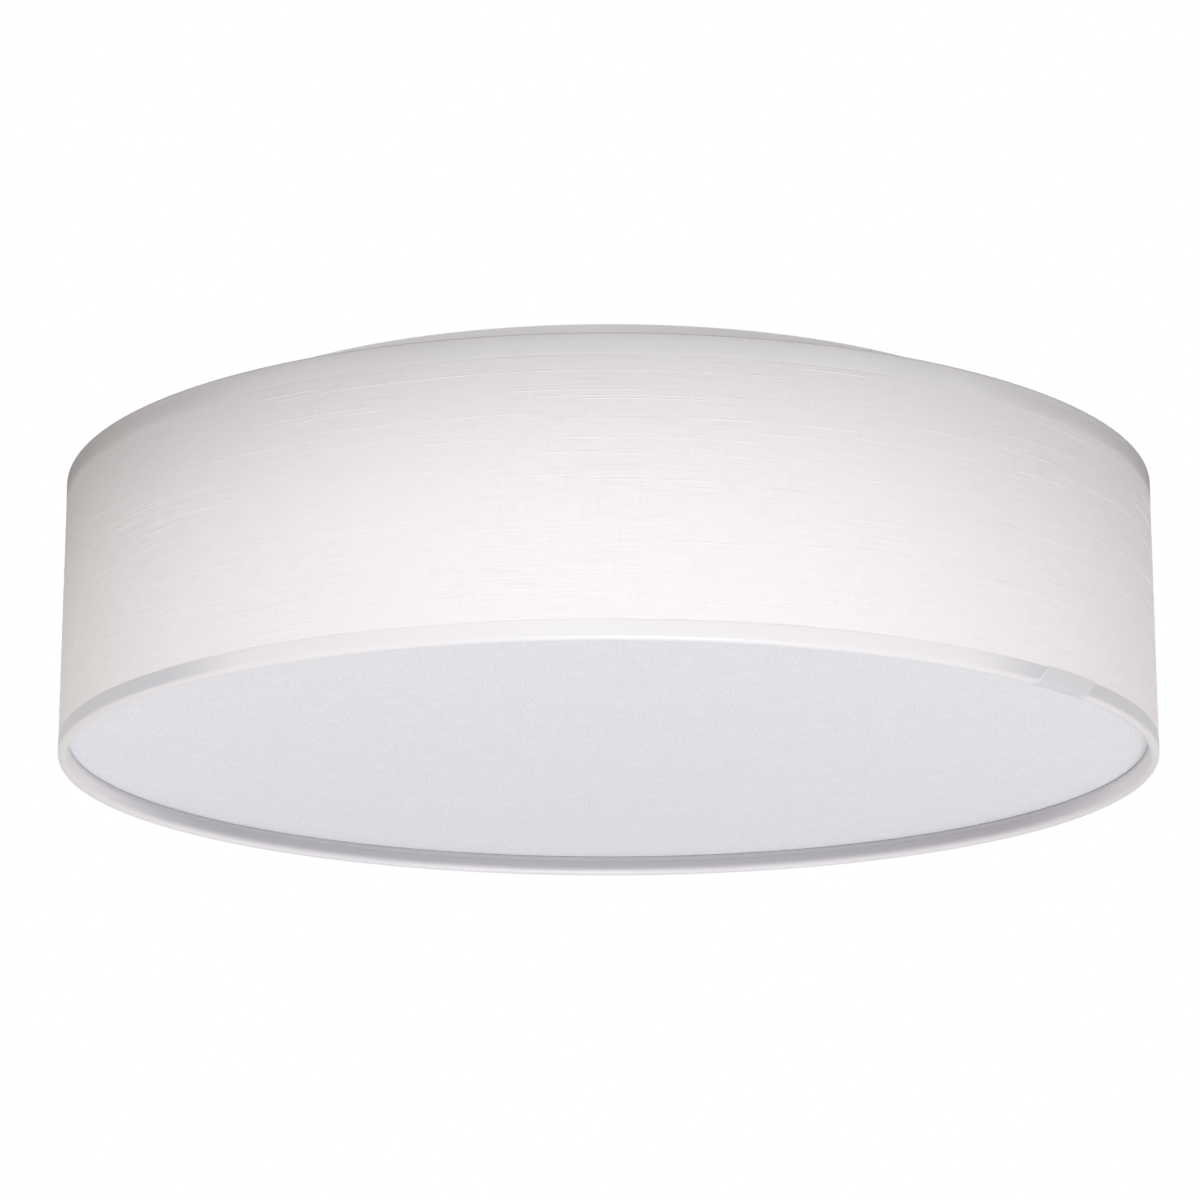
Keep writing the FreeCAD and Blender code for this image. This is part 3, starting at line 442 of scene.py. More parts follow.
def biasTape(name, facts):
    # folded cotton-satin bias tape: smoother and greyer than the cloth, threads at 45 degrees
    # painted shade: its face is greyer towards the drum's sides, and its folded inside greyer towards the
    # drum's front and back
    material, tree = newMaterial(name)
    place = addNode(tree, "ShaderNodeUVMap", {"uv_map": "cloth"}).outputs[0]
    across, along = addNode(tree, "ShaderNodeSeparateXYZ", Vector=place).outputs[:2]
    solid = addNode(tree, "ShaderNodeTexCoord").outputs["Object"]
    depth = addNode(tree, "ShaderNodeSeparateXYZ", Vector=solid).outputs["Y"]
    turned = addNode(tree, "ShaderNodeMapping", Vector=place, Rotation=(0, 0, math.radians(45)))
    threads = grain(tree, turned.outputs[0], satin["thread"], 1.0, (10, 1, 1))
    cloud = grain(tree, place, satin["cloud"], 2.0, (2.5, 1, 1))
    colour = blend(tree, ramp(tree, threads, 0.3, 0.8), *facts["face"])
    colour = blend(tree, ramp(tree, cloud, 0.35, 0.7), colour, facts["cloud"])
    slanted = addNode(tree, "ShaderNodeMath", plus, i0=across, i1=along).outputs[0]
    spots = (*splice["places"], splice["faint"])
    rise = splice["slant"] * shade["bottomHem"]
    *marks, faint = [rise + math.radians(spot) * shade["radius"] for spot in spots]
    colour = blend(tree, ramp(tree, slanted, faint, faint + satin["faint"]), facts["cloud"], colour)
    sideways = addNode(tree, "ShaderNodeMath", {"operation": "ABSOLUTE"}, i0=depth).outputs[0]
    # painted shade: the tape's face is greyer towards the drum's sides
    atSides, onFace = ramp(tree, sideways, *satin["sideShade"]), ramp(tree, along, *satin["face"])
    sideShade = addNode(tree, "ShaderNodeMath", times, i0=atSides, i1=onFace)
    colour = blend(tree, sideShade.outputs[0], colour, facts["sideShade"])
    begun = ramp(tree, slanted, marks[0], marks[0] + satin["lapEdges"][0])
    ended = ramp(tree, slanted, marks[1] + satin["lapEdges"][1], marks[1])
    lapped = addNode(tree, "ShaderNodeMath", times, i0=begun, i1=ended)
    colour = blend(tree, lapped.outputs[0], colour, facts["lap"])
    for mark in marks:
        onMark = addNode(
            tree, "ShaderNodeMath", {"operation": "COMPARE"}, i0=slanted, i1=mark, i2=satin["mark"],
        )
        colour = blend(tree, onMark.outputs[0], colour, facts["mark"])
    # painted shadow: a darker line along the tape's cut edge
    colour = blend(tree, ramp(tree, along, *satin["edgeShadow"]), colour, facts["edge"])
    # painted shade: the tape's folded inside in the recess, greyed towards the drum's front and back
    (start, end), (startEdge, endEdge) = facts["glue"], satin["glueEdges"]
    past = ramp(tree, along, start, start + startEdge)
    towardsSides = ramp(tree, sideways, *satin["gluedFrom"])
    grey = blend(tree, ramp(tree, along, end - endEdge, end), *satin["gluedTones"])
    glued = addNode(tree, "ShaderNodeMath", times, i0=past, i1=towardsSides)
    colour = blend(tree, glued.outputs[0], colour, grey)
    bump = addNode(tree, "ShaderNodeBump", Strength=0.35, Distance=0.03 * mm, Height=threads)
    shader = addNode(
        tree, "ShaderNodeBsdfPrincipled", Base_Color=colour, Roughness=0.42, Normal=bump.outputs[0],
        Specular_IOR_Level=0.9,
    )
    finishMaterial(tree, shader)
    return material


def opalAcrylic():
    # cast opal acrylic with an etched face: even lilac-grey white with a fine speckle
    # the etched grain is drawn at 0.8 mm, coarser than the real one, so that it shows
    material, tree = newMaterial("etchedOpalAcrylic")
    place = addNode(tree, "ShaderNodeTexCoord").outputs["Object"]
    speckle = grain(tree, place, 0.8 * mm, 2.0)
    mottle = grain(tree, place, 7 * mm, 3.0)
    colour = blend(tree, ramp(tree, speckle, 0.35, 0.65), "#E7E9EF", "#FBFDFF")
    colour = blend(tree, ramp(tree, mottle, 0.45, 0.8), colour, "#F5F7FB")
    bump = addNode(tree, "ShaderNodeBump", Strength=0.6, Distance=0.09 * mm, Height=speckle)
    shader = addNode(
        tree, "ShaderNodeBsdfPrincipled", Base_Color=colour, Roughness=0.55, IOR=1.49, Normal=bump.outputs[0],
        Specular_IOR_Level=0.3,
    )
    finishMaterial(tree, shader)
    return material


finishes = {
    # name: colours and roughness, each low and high, then grain and bump in mm, and metallic for a metal
    "powderCoatedSteel": {  # white polyester powder: faint orange peel, satin
        "colours": ("#EEEEF3", "#F1F1F6"), "roughness": (0.4, 0.46), "grain": 1.1, "bump": 0.02,
    },
    "zincPlatedSteel": {  # bright zinc: pale grey metal, cloudy spangle
        "colours": ("#B2B4B7", "#C9CACC"), "roughness": (0.28, 0.42), "grain": 3.0, "bump": 0.004,
        "metallic": 1.0,
    },
    "epoxyCoatedWire": {  # dipped white epoxy over steel: smooth, slightly creamy
        "colours": ("#E6E5E1", "#EFEEEB"), "roughness": (0.3, 0.42), "grain": 2.2, "bump": 0.015,
    },
    "whiteStyrene": {  # extruded styrene liner: matte, faint flow marks
        "colours": ("#F0EFED", "#F3F2F0"), "roughness": (0.52, 0.6), "grain": 6.0, "bump": 0.01,
    },
    "nickelPlatedSteel": {  # turned and knurled, then nickel plated: warm bright metal
        "colours": ("#B9B6B0", "#D4D1CB"), "roughness": (0.16, 0.3), "grain": 1.4, "bump": 0.003,
        "metallic": 1.0,
    },
    "stampedBrass": {  # bare brass strip and bar: yellow, a little tarnished
        "colours": ("#A8843F", "#D0AE66"), "roughness": (0.24, 0.42), "grain": 2.5, "bump": 0.004,
        "metallic": 1.0,
    },
    "nickelPlatedBrass": {  # rolled thread, nickel over brass: grey with a yellow cast
        "colours": ("#BFBBB0", "#CDC9BE"), "roughness": (0.24, 0.32), "grain": 2.6, "bump": 0.002,
        "metallic": 1.0,
    },
    "thermosetPlastic": {  # moulded heat-resistant polyester: chalky white, fine pits
        "colours": ("#DEDCD6", "#E8E6E1"), "roughness": (0.5, 0.66), "grain": 0.9, "bump": 0.02,
    },
    "naturalPolyamide": {  # unpigmented nylon: milky, slightly waxy
        "colours": ("#E6E4DB", "#F0EEE7"), "roughness": (0.34, 0.48), "grain": 1.6, "bump": 0.01,
    },
    "blackRubber": {  # moulded grommet rubber: dull black with a bloom
        "colours": ("#161616", "#242424"), "roughness": (0.6, 0.8), "grain": 1.2, "bump": 0.02,
    },
    "brownSilicone": {  # extruded silicone insulation: slightly glossy
        "colours": ("#5B2E17", "#6B3A20"), "roughness": (0.35, 0.5), "grain": 1.5, "bump": 0.01,
    },
    "blueSilicone": {  # the same in blue
        "colours": ("#1F4E9B", "#2C5FAE"), "roughness": (0.35, 0.5), "grain": 1.5, "bump": 0.01,
    },
    "opalPolycarbonate": {  # blown diffusing cover: milky white, satin
        "colours": ("#F2F2F0", "#F6F6F5"), "roughness": (0.3, 0.35), "grain": 5.0, "bump": 0.003,
    },
    "whitePolycarbonate": {  # moulded bulb housing: opaque white, satin
        "colours": ("#E9E9E8", "#F0F0EF"), "roughness": (0.4, 0.52), "grain": 1.3, "bump": 0.012,
    },
}


def finishMade(name):
    # its grain, and under it a mottle nine times as wide, tone the colour and the roughness
    facts = finishes[name]
    material, tree = newMaterial(name)
    place = addNode(tree, "ShaderNodeTexCoord").outputs["Object"]
    fine = grain(tree, place, facts["grain"] * mm, 3.0)
    wide = grain(tree, place, facts["grain"] * 9 * mm, 2.0)
    mixed = addNode(tree, "ShaderNodeMath", timesPlus, i0=wide, i1=0.6, i2=fine).outputs[0]
    share = ramp(tree, mixed, 0.55, 1.05)
    rough = addNode(tree, "ShaderNodeMapRange", Value=share)
    rough.inputs["To Min"].default_value, rough.inputs["To Max"].default_value = facts["roughness"]
    bump = addNode(tree, "ShaderNodeBump", Strength=0.5, Distance=facts["bump"] * mm, Height=fine)
    shader = addNode(
        tree, "ShaderNodeBsdfPrincipled", Base_Color=blend(tree, share, *facts["colours"]),
        Roughness=rough.outputs[0], Metallic=facts.get("metallic", 0.0), Normal=bump.outputs[0],
    )
    finishMaterial(tree, shader)
    return material


def earthInsulation():
    # green silicone with a yellow stripe along it, as an earth lead has
    material, tree = newMaterial("greenYellowSilicone")
    place = addNode(tree, "ShaderNodeTexCoord").outputs["Object"]
    normal = addNode(tree, "ShaderNodeNewGeometry").outputs["Normal"]
    upward = addNode(tree, "ShaderNodeSeparateXYZ", Vector=normal).outputs["Z"]
    fine = grain(tree, place, 1.5 * mm, 2.0)
    green = blend(tree, fine, "#2F7A33", "#3B8A3D")
    colour = blend(tree, ramp(tree, upward, 0.45, 0.55), green, "#E3CF2E")
    finishMaterial(tree, addNode(tree, "ShaderNodeBsdfPrincipled", Base_Color=colour, Roughness=0.42))
    return material


slotFinish = {
    "ring_wire": "epoxyCoatedWire", "shade_liner": "whiteStyrene", "white_steel": "powderCoatedSteel",
    "zinc_steel": "zincPlatedSteel", "nickel_steel": "nickelPlatedSteel", "brass": "stampedBrass",
    "nickel_brass": "nickelPlatedBrass", "holder_plastic": "thermosetPlastic",
    "terminal_plastic": "naturalPolyamide", "grommet_rubber": "blackRubber",
    "live_insulation": "brownSilicone", "neutral_insulation": "blueSilicone",
    "bulb_glass": "opalPolycarbonate", "bulb_body": "whitePolycarbonate",
}
materials = {slot: finishMade(name) for slot, name in slotFinish.items()}
materials["shade_fabric"] = slubCloth()
materials["hem_tape"] = biasTape("satinBiasTape", tapeTones["top"])
materials["hem_tape_recess"] = biasTape("satinBiasTapePaintedShade", tapeTones["bottom"])
materials["opal_acrylic"] = opalAcrylic()
materials["earth_insulation"] = earthInsulation()
materials["slub_yarn"] = slubYarn()


def dressNodes():
    slotOf = {part["node"]: part["material_slot"] for part in frame["record"]["subparts"]}
    for name, node in nodes.items():
        for place in node.material_slots:
            place.material = materials[slotOf[name]]


dressNodes()
print("materials ready:", len(materials))


clothStrip = {
    "thick": 0.5 * mm,
    "short": 1.8 * mm,  # it stops this far from the drum's top and bottom, where the tapes start to fold
    "seam": 90,  # degrees from +X: at the back
    "lap": 14 * mm,
    "lapLift": 0.55 * mm,
    "lapClimb": (1.35, 0.95),  # it climbs onto itself between these shares of the lap from its end
    "sway": 0.03 * mm,
    "waves": (3, 5, 8, 13),  # whole waves of the sway round the drum
    "seeds": (11, 12),  # of the sway at its bottom and top
    "rows": 80,
    "steps": (0.0175, 0.0025),  # round the drum, and near the lap, radians
    "within": 0.02,  # of the lap's ends, radians
    "underHem": (4 * mm, 3.5 * mm),  # it comes out from this far behind a hem's edge, over this height
    "besideHem": (0.2 * mm, 1.4 * mm),  # and its lap lifts from this far beyond the edge, over this height
}


def makeShadeCloth():
    # one stretched strip, pressed in under both hems, with its lap at the back
    facts = clothStrip
    outside = shade["radius"] - shade["tape"]
    low, high = shade["bottom"] + facts["short"], shade["top"] - facts["short"]
    hemLow, hemHigh = shade["bottom"] + shade["bottomHem"], shade["top"] - shade["topHem"]
    (behind, behindEase), (beyond, beyondEase) = facts["underHem"], facts["besideHem"]
    seam, lap, rows = math.radians(facts["seam"]), facts["lap"] / outside, facts["rows"]
    end = seam + math.tau + lap
    climb = [end - lap * share for share in facts["lapClimb"]]
    sways = [ripple(seed, facts["waves"], facts["sway"]) for seed in facts["seeds"]]

    def between(first, last, reach, height):
        # 1 between two heights, easing to 0 within the reach inside them
        return smoothStep(first, first + reach, height) - smoothStep(last - reach, last, height)

    def outlineAt(angle):
        lapped = facts["lapLift"] * smoothStep(*climb, angle)
        points = [(outside - facts["thick"], high), (outside - facts["thick"], low)]
        for row in range(rows + 1):
            share = row / rows
            height = low + (high - low) * share
            sway = sways[0](angle) * (1 - share) + sways[1](angle) * share
            out = between(hemLow - behind, hemHigh + behind, behindEase, height)
            proud = out * (sway + shade["tape"] - shade["proud"])
            lift = between(hemLow + beyond, hemHigh - beyond, beyondEase, height) * lapped
            points.append((outside + proud + lift, height))
        return points

    steps = angleSteps(seam, end, *facts["steps"], (seam, end - lap, end), facts["within"])
    cloth = sweepRound("shadeCloth", steps, outlineAt, materials["shade_fabric"])
    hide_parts("shade_fabric")
    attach(cloth, "shade")
    return cloth, (end - seam) * outside, high - low


slubs = {
    "count": 260,
    "lengths": (24 * mm, 42 * mm, 68 * mm),
    "thick": 0.13 * mm,  # radius at the middle of a slub
    "proud": 0.03 * mm,  # lifts them all a little off the cloth
    "sunk": 0.6,  # share of the thickness that lies in the cloth
    "clear": 1 * mm,  # of the hems
    "seed": 7,
}


def slubTree():
    # each slub is a thin spindle of yarn that lies along the cloth's weft
    tree, group = newTree("slubYarns", {
        "Count": int, "Radius": float, "Low": float, "High": float, "Thickness": float, "Seed": int,
        "Material": "material",
    })
    given = group.outputs
    radius = given["Radius"]
    around = addNode(tree, "FunctionNodeRandomValue", Min=0.0, Max=math.tau, Seed=given["Seed"])
    shift = addNode(tree, "ShaderNodeMath", plus, i0=given["Seed"], i1=5.0)
    up = addNode(tree, "FunctionNodeRandomValue", Min=given["Low"], Max=given["High"], Seed=shift.outputs[0])
    place = addNode(tree, "ShaderNodeCombineXYZ", Z=up.outputs[1])
    turn = addNode(tree, "ShaderNodeCombineXYZ", Z=around.outputs[1])
    points = addNode(tree, "GeometryNodePoints", Count=given["Count"], Position=place.outputs[0])
    yarns = tree.nodes.new("GeometryNodeGeometryToInstance")
    for length in reversed(slubs["lengths"]):
        sweep = addNode(tree, "ShaderNodeMath", {"operation": "DIVIDE"}, i0=length, i1=radius)
        arc = addNode(
            tree, "GeometryNodeCurveArc", {"mode": "RADIUS"}, Resolution=13, Radius=radius,
            Sweep_Angle=sweep.outputs[0],
        )
        along = tree.nodes.new("GeometryNodeSplineParameter")
        angle = addNode(tree, "ShaderNodeMath", times, i0=along.outputs["Factor"], i1=math.pi)
        taper = addNode(tree, "ShaderNodeMath", {"operation": "SINE"}, i0=angle.outputs[0])
        spindle = addNode(tree, "GeometryNodeSetCurveRadius", Curve=arc.outputs[0], Radius=taper.outputs[0])
        ring = addNode(tree, "GeometryNodeCurvePrimitiveCircle", Resolution=6, Radius=given["Thickness"])
        tube = addNode(
            tree, "GeometryNodeCurveToMesh", Curve=spindle.outputs[0], Profile_Curve=ring.outputs[0],
        )
        tree.links.new(tube.outputs[0], yarns.inputs[0])
    scatter = addNode(
        tree, "GeometryNodeInstanceOnPoints", Points=points.outputs[0], Instance=yarns.outputs[0],
        Pick_Instance=True, Rotation=turn.outputs[0],
    )
    finishTree(tree, scatter.outputs[0], given["Material"])
    return tree


def makeSlubs():
    low, high = shade["bottom"] + shade["bottomHem"], shade["top"] - shade["topHem"]
    piece = growWith("slubYarns", slubTree(), {
        "Count": slubs["count"],
        "Radius": shade["radius"] - shade["proud"] + slubs["proud"] - slubs["thick"] * slubs["sunk"],
        "Low": low + slubs["clear"],
        "High": high - slubs["clear"],
        "Thickness": slubs["thick"],
        "Seed": slubs["seed"],
        "Material": materials["slub_yarn"],
    })
    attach(piece, "shade")
    return piece


cloth, clothLong, clothTall = makeShadeCloth()
yarns = makeSlubs()
print("shade cloth made")


def tapeLift(angle, height):
    # how much thicker the bottom tape is between its two creases, and at each
    radius = shade["radius"]
    shift = splice["slant"] * (height - shade["bottom"]) / radius
    first, second = (math.radians(place) + shift for place in splice["places"])
    ease = splice["ease"] / radius
    lapped = smoothStep(first, first + ease, angle) - smoothStep(second, second + ease, angle)
    lift = splice["lift"] * lapped
    for crease in (first, second):
        away = abs(angle - crease) * radius
        lift += splice["crease"] * max(0, 1 - away / splice["creaseReach"])
    return lift


bottomTape = {
    "hoop": 1.8 * mm,  # thickness of the hoop that it is folded round
    "underDiffuser": 0.5 * mm,  # its inner edge stops this far below the diffuser
    "pressed": 0.02 * mm,  # its back lies this far out over the cloth
    "wave": (31, (4, 7, 12, 19), 0.12 * mm),  # of its cut edge: seed, whole waves round the drum, size
    "pucker": (37, (23, 41, 67), 0.02 * mm),
    # going down its face: share of the way to the fold, and how much thinner it is there
    "face": (
        (0, 0.1 * mm), (0.02, 0.09 * mm), (0.1, 0.04 * mm), (0.25, 0), (0.4, 0), (0.6, 0), (0.8, 0), (1, 0),
    ),
    "outerFold": 10,  # steps
    "innerFold": 8,
    "steps": (0.0125, 0.0016),  # round the drum, and near the creases, radians
}


def makeBottomTape():
    facts = bottomTape
    radius, tape = shade["radius"], shade["tape"]
    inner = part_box("bottom_hoop")[1][0] - facts["hoop"] - shade["glue"] - tape
    half = (radius - inner) / 2
    middle, foot = radius - half, shade["bottom"] + half
    skirt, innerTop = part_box("bottom_hem_tape")[1][2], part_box("diffuser")[0][2] - facts["underDiffuser"]
    back = radius - tape + facts["pressed"]
    wave, pucker = ripple(*facts["wave"]), ripple(*facts["pucker"])

    def onFold(reach, turn):
        return middle + reach * math.cos(turn), foot - reach * math.sin(turn)

    def outlineAt(angle):
        edge = skirt + wave(angle)
        points = []
        for share, thin in facts["face"]:
            height = edge + (foot - edge) * share
            points.append((radius - thin + pucker(angle) * (1 - share) + tapeLift(angle, height), height))
        for step in range(1, facts["outerFold"]):
            turn = math.pi * step / facts["outerFold"]
            points.append(onFold(half + tapeLift(angle, foot) * max(0, math.cos(turn)), turn))
        points += [(inner, foot), (inner, (foot + innerTop) / 2), (inner, innerTop)]
        points += [(inner + tape, innerTop), (inner + tape, foot)]
        for step in range(1, facts["innerFold"]):
            points.append(onFold(half - tape, math.pi - math.pi * step / facts["innerFold"]))
        return points + [(back, foot), (back, edge)]

    near = [math.radians(place) for place in splice["places"]]
    steps = angleSteps(near[0] - math.pi, near[0] + math.pi, *facts["steps"], near, splice["within"])
    piece = sweepRound("bottomHemTape", steps, outlineAt, materials["hem_tape_recess"], joined=True)
    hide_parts("bottom_hem_tape")
    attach(piece, "shade")


topTape = {
    "fold": 0.6 * mm,  # radius of its two creases over the wire
    "foldSteps": 5,
    "pressed": 0.02 * mm,  # its back lies this far out over the cloth
    "wave": (51, (4, 6, 11, 17), 0.12 * mm),  # of its cut edge: seed, whole waves round the drum, size
    "pucker": (57, (21, 43, 61), 0.02 * mm),
    # going up its face from the cut edge: how much thinner it is there, and how high
    "face": ((0.1 * mm, 0), (0.09 * mm, 0.1 * mm)),
    "faceEnd": (0.04 * mm, 0.6 * mm),
    "rows": (0.25, 0.6),  # shares of the way from the edge to the crease
    "seam": 90,  # degrees from +X, where its sweep starts
    "step": 0.0125,
}


def makeTopTape():
    facts = topTape
    radius, tape, top = shade["radius"], shade["tape"], shade["top"]
    ringLow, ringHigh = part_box("top_ring")
    wire = ringHigh[2] - ringLow[2]
    inner = ringHigh[0] - wire - shade["glue"] - tape
    fold = facts["fold"]
    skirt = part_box("top_hem_tape")[0][2]
    wave, pucker = ripple(*facts["wave"]), ripple(*facts["pucker"])

    def corner(centre, reach, start):
        count = facts["foldSteps"]
        turns = [math.radians(start + 90 * step / count) for step in range(count + 1)]
        return [(centre + reach * math.cos(t), top - fold + reach * math.sin(t)) for t in turns]

    def outlineAt(angle):
        edge = skirt + wave(angle)
        points = [(radius - tape + facts["pressed"], edge)]
        points += [(radius - thin + pucker(angle), edge + rise) for thin, rise in facts["face"]]
        points.append((radius - facts["faceEnd"][0], edge + facts["faceEnd"][1]))
        points += [(radius, edge + (top - fold - edge) * share) for share in facts["rows"]]
        points += corner(radius - fold, fold, 0) + corner(inner + fold, fold, 90)
        points += reversed(corner(inner + fold, fold - tape, 90))
        points += reversed(corner(radius - fold, fold - tape, 0))
        return points

    seam = math.radians(facts["seam"])
    steps = angleSteps(seam, seam + math.tau, facts["step"], facts["step"], (), 0)
    piece = sweepRound("topHemTape", steps, outlineAt, materials["hem_tape"], joined=True)
    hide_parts("top_hem_tape")
    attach(piece, "shade")


makeBottomTape()
makeTopTape()
print("hem tapes made")


# pan-headed screws with a cross recess and rolled threads
screws = {
    "head": 4 * mm,  # radius
    "tall": 2.4 * mm,
    "core": 1.68 * mm,
    "thread": 2 * mm,  # radius over the crests
    "pitch": 0.7 * mm,
    "recess": (4.4 * mm, 0.95 * mm, 1.3 * mm),  # length and width of each slot of the cross, and its depth
    "segments": 48,
    "seed": 3,
}
shanks = {
    "plain": 0.6 * mm,  # without thread at each end
    "sides": 32,
    "turnPoints": 20,  # points of the helix in one turn
    "toothSides": 6,
}


def addShank(tree, given, length, pitch):
    # a core and a helical ridge round it, hanging from the origin down to -length
    core = addNode(
        tree, "GeometryNodeMeshCylinder", Vertices=shanks["sides"], Radius=given["Core"], Depth=length,
    )
    hung = addNode(tree, "GeometryNodeTransform", Geometry=core.outputs[0], Translation=(0, 0, -length / 2))
    total = addNode(tree, "ShaderNodeMath", plus, i0=given["Core"], i1=given["Thread"])
    middle = addNode(tree, "ShaderNodeMath", times, i0=total.outputs[0], i1=0.5)
    run = length - shanks["plain"] * 2
    helix = addNode(
        tree, "GeometryNodeCurveSpiral", Resolution=shanks["turnPoints"], Rotations=run / pitch, Height=run,
    )
    for end in ("Start Radius", "End Radius"):
        tree.links.new(middle.outputs[0], helix.inputs[end])
    ridge = addNode(tree, "ShaderNodeMath", minus, i0=given["Thread"], i1=middle.outputs[0])
    tooth = addNode(
        tree, "GeometryNodeCurvePrimitiveCircle", Resolution=shanks["toothSides"], Radius=ridge.outputs[0],
    )
    thread = addNode(
        tree, "GeometryNodeCurveToMesh", Curve=helix.outputs[0], Profile_Curve=tooth.outputs[0],
        Fill_Caps=True,
    )
    raised = (0, 0, shanks["plain"] - length)
    return hung, addNode(tree, "GeometryNodeTransform", Geometry=thread.outputs[0], Translation=raised)


def joinPieces(tree, pieces):
    joint = tree.nodes.new("GeometryNodeJoinGeometry")
    for piece in pieces:
        tree.links.new(piece.outputs[0], joint.inputs[0])
    return joint.outputs[0]


def screwTree(length):
    # one screw along +Z under its head, upside down on each of the points, each turned by chance
    tree, group = newTree("crossRecessScrews", {
        "Head Radius": float, "Head Height": float, "Core": float, "Thread": float, "Recess Length": float,
        "Recess Width": float, "Recess Depth": float, "Seed": int, "Material": "material",
    })
    given = group.outputs
    segments = screws["segments"]
    dome = addNode(tree, "GeometryNodeMeshUVSphere", Segments=segments, Rings=segments // 2, Radius=1.0)
    # the ball's lower half goes flat, and its upper half gets the full shoulders of a pan head
    position = addNode(tree, "GeometryNodeInputPosition").outputs[0]
    axes = addNode(tree, "ShaderNodeSeparateXYZ", Vector=position).outputs
    flat = addNode(tree, "ShaderNodeCombineXYZ", X=axes["X"], Y=axes["Y"]).outputs[0]
    reach = addNode(tree, "ShaderNodeVectorMath", {"operation": "LENGTH"}, i0=flat).outputs["Value"]
    swell = addNode(tree, "ShaderNodeMath", {"operation": "POWER"}, i0=reach, i1=-0.5).outputs[0]
    wide = addNode(tree, "ShaderNodeMath", times, i0=swell, i1=given["Head Radius"]).outputs[0]
    level = addNode(tree, "ShaderNodeMath", {**times, "use_clamp": True}, i0=axes["Z"], i1=1.0).outputs[0]
    raised = addNode(tree, "ShaderNodeMath", times, i0=level, i1=given["Head Height"]).outputs[0]
    shoulders = addNode(tree, "ShaderNodeVectorMath", {"operation": "SCALE"}, Vector=flat, Scale=wide)
    full = addNode(tree, "ShaderNodeSeparateXYZ", Vector=shoulders.outputs[0]).outputs
    place = addNode(tree, "ShaderNodeCombineXYZ", X=full["X"], Y=full["Y"], Z=raised).outputs[0]
    head = addNode(tree, "GeometryNodeSetPosition", Geometry=dome.outputs[0], Position=place)
    cuts = []
    for first, second in (("Recess Length", "Recess Width"), ("Recess Width", "Recess Length")):
        deep = addNode(tree, "ShaderNodeMath", times, i0=given["Recess Depth"], i1=2.0)
        size = addNode(tree, "ShaderNodeCombineXYZ", X=given[first], Y=given[second], Z=deep.outputs[0])
        box = addNode(tree, "GeometryNodeMeshCube", Size=size.outputs[0])
        up = addNode(tree, "ShaderNodeCombineXYZ", Z=given["Head Height"]).outputs[0]
        cuts.append(addNode(tree, "GeometryNodeTransform", Geometry=box.outputs[0], Translation=up))
    cutAway = {"operation": "DIFFERENCE", "solver": "EXACT"}
    carved = addNode(tree, "GeometryNodeMeshBoolean", cutAway, i0=head.outputs[0])
    for cut in cuts:
        tree.links.new(cut.outputs[0], carved.inputs[1])
    screw = joinPieces(tree, (carved, *addShank(tree, given, length, screws["pitch"])))
    spin = addNode(tree, "FunctionNodeRandomValue", Min=0.0, Max=math.tau, Seed=given["Seed"])
    turn = addNode(tree, "ShaderNodeCombineXYZ", X=math.pi, Z=spin.outputs[1]).outputs[0]
    placed = addNode(tree, "GeometryNodeInstanceOnPoints", Points=given[0], Instance=screw, Rotation=turn)
    finishTree(tree, placed.outputs[0], given["Material"])
    return tree


def makeScrews(name, node, places):
    low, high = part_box(node)
    under = low[2] + screws["tall"]
    recessLong, recessWide, recessDeep = screws["recess"]
    piece = growWith(name, screwTree(high[2] - under), {
        "Head Radius": screws["head"], "Head Height": screws["tall"], "Core": screws["core"],
        "Thread": screws["thread"], "Recess Length": recessLong, "Recess Width": recessWide,
        "Recess Depth": recessDeep, "Seed": screws["seed"], "Material": materials["zinc_steel"],
    }, [(x, y, under) for x, y in places])
    sharpenEdges(piece)
    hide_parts(node)
    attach(piece, "fixture")


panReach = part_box("pan_screws")[1][0] - screws["head"]
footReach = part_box("bracket_screws")[1][1] - screws["head"]  # the first bracket points along +Y
earthPlace = [(low + high) / 2 for low, high in zip(*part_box("earth_screw"))][:2]
footTurns = [math.radians(heading) for heading in lampHeadings]
footPlaces = [(footReach * math.cos(turn), footReach * math.sin(turn)) for turn in footTurns]
makeScrews("panScrews", "pan_screws", [(-panReach, 0), (panReach, 0)])
makeScrews("bracketScrews", "bracket_screws", footPlaces)
makeScrews("earthScrew", "earth_screw", [earthPlace])
print("screws made")


# the three studs that the shade hangs on
studs = {
    "at": 105 * mm,  # distance from the centre
    "turns": (30, 150, 270),
    "head": (5 * mm, 1.25 * mm),  # radius and height of the welded head
    "headSides": 40,
    "core": 2.1 * mm,
    "thread": 2.5 * mm,
    "pitch": 0.8 * mm,
}


def studTree(length):
    tree, group = newTree("threadedStuds", {
        "Head Radius": float, "Head Height": float, "Core": float, "Thread": float, "Material": "material",
    })
    given = group.outputs
    disc = addNode(
        tree, "GeometryNodeMeshCylinder", Vertices=studs["headSides"], Radius=given["Head Radius"],
        Depth=given["Head Height"],
    )
    half = addNode(tree, "ShaderNodeMath", times, i0=given["Head Height"], i1=0.5)
    up = addNode(tree, "ShaderNodeCombineXYZ", Z=half.outputs[0])
    head = addNode(tree, "GeometryNodeTransform", Geometry=disc.outputs[0], Translation=up.outputs[0])
    stud = joinPieces(tree, (head, *addShank(tree, given, length, studs["pitch"])))
    placed = addNode(tree, "GeometryNodeInstanceOnPoints", Points=given[0], Instance=stud)
    finishTree(tree, placed.outputs[0], given["Material"])
    return tree


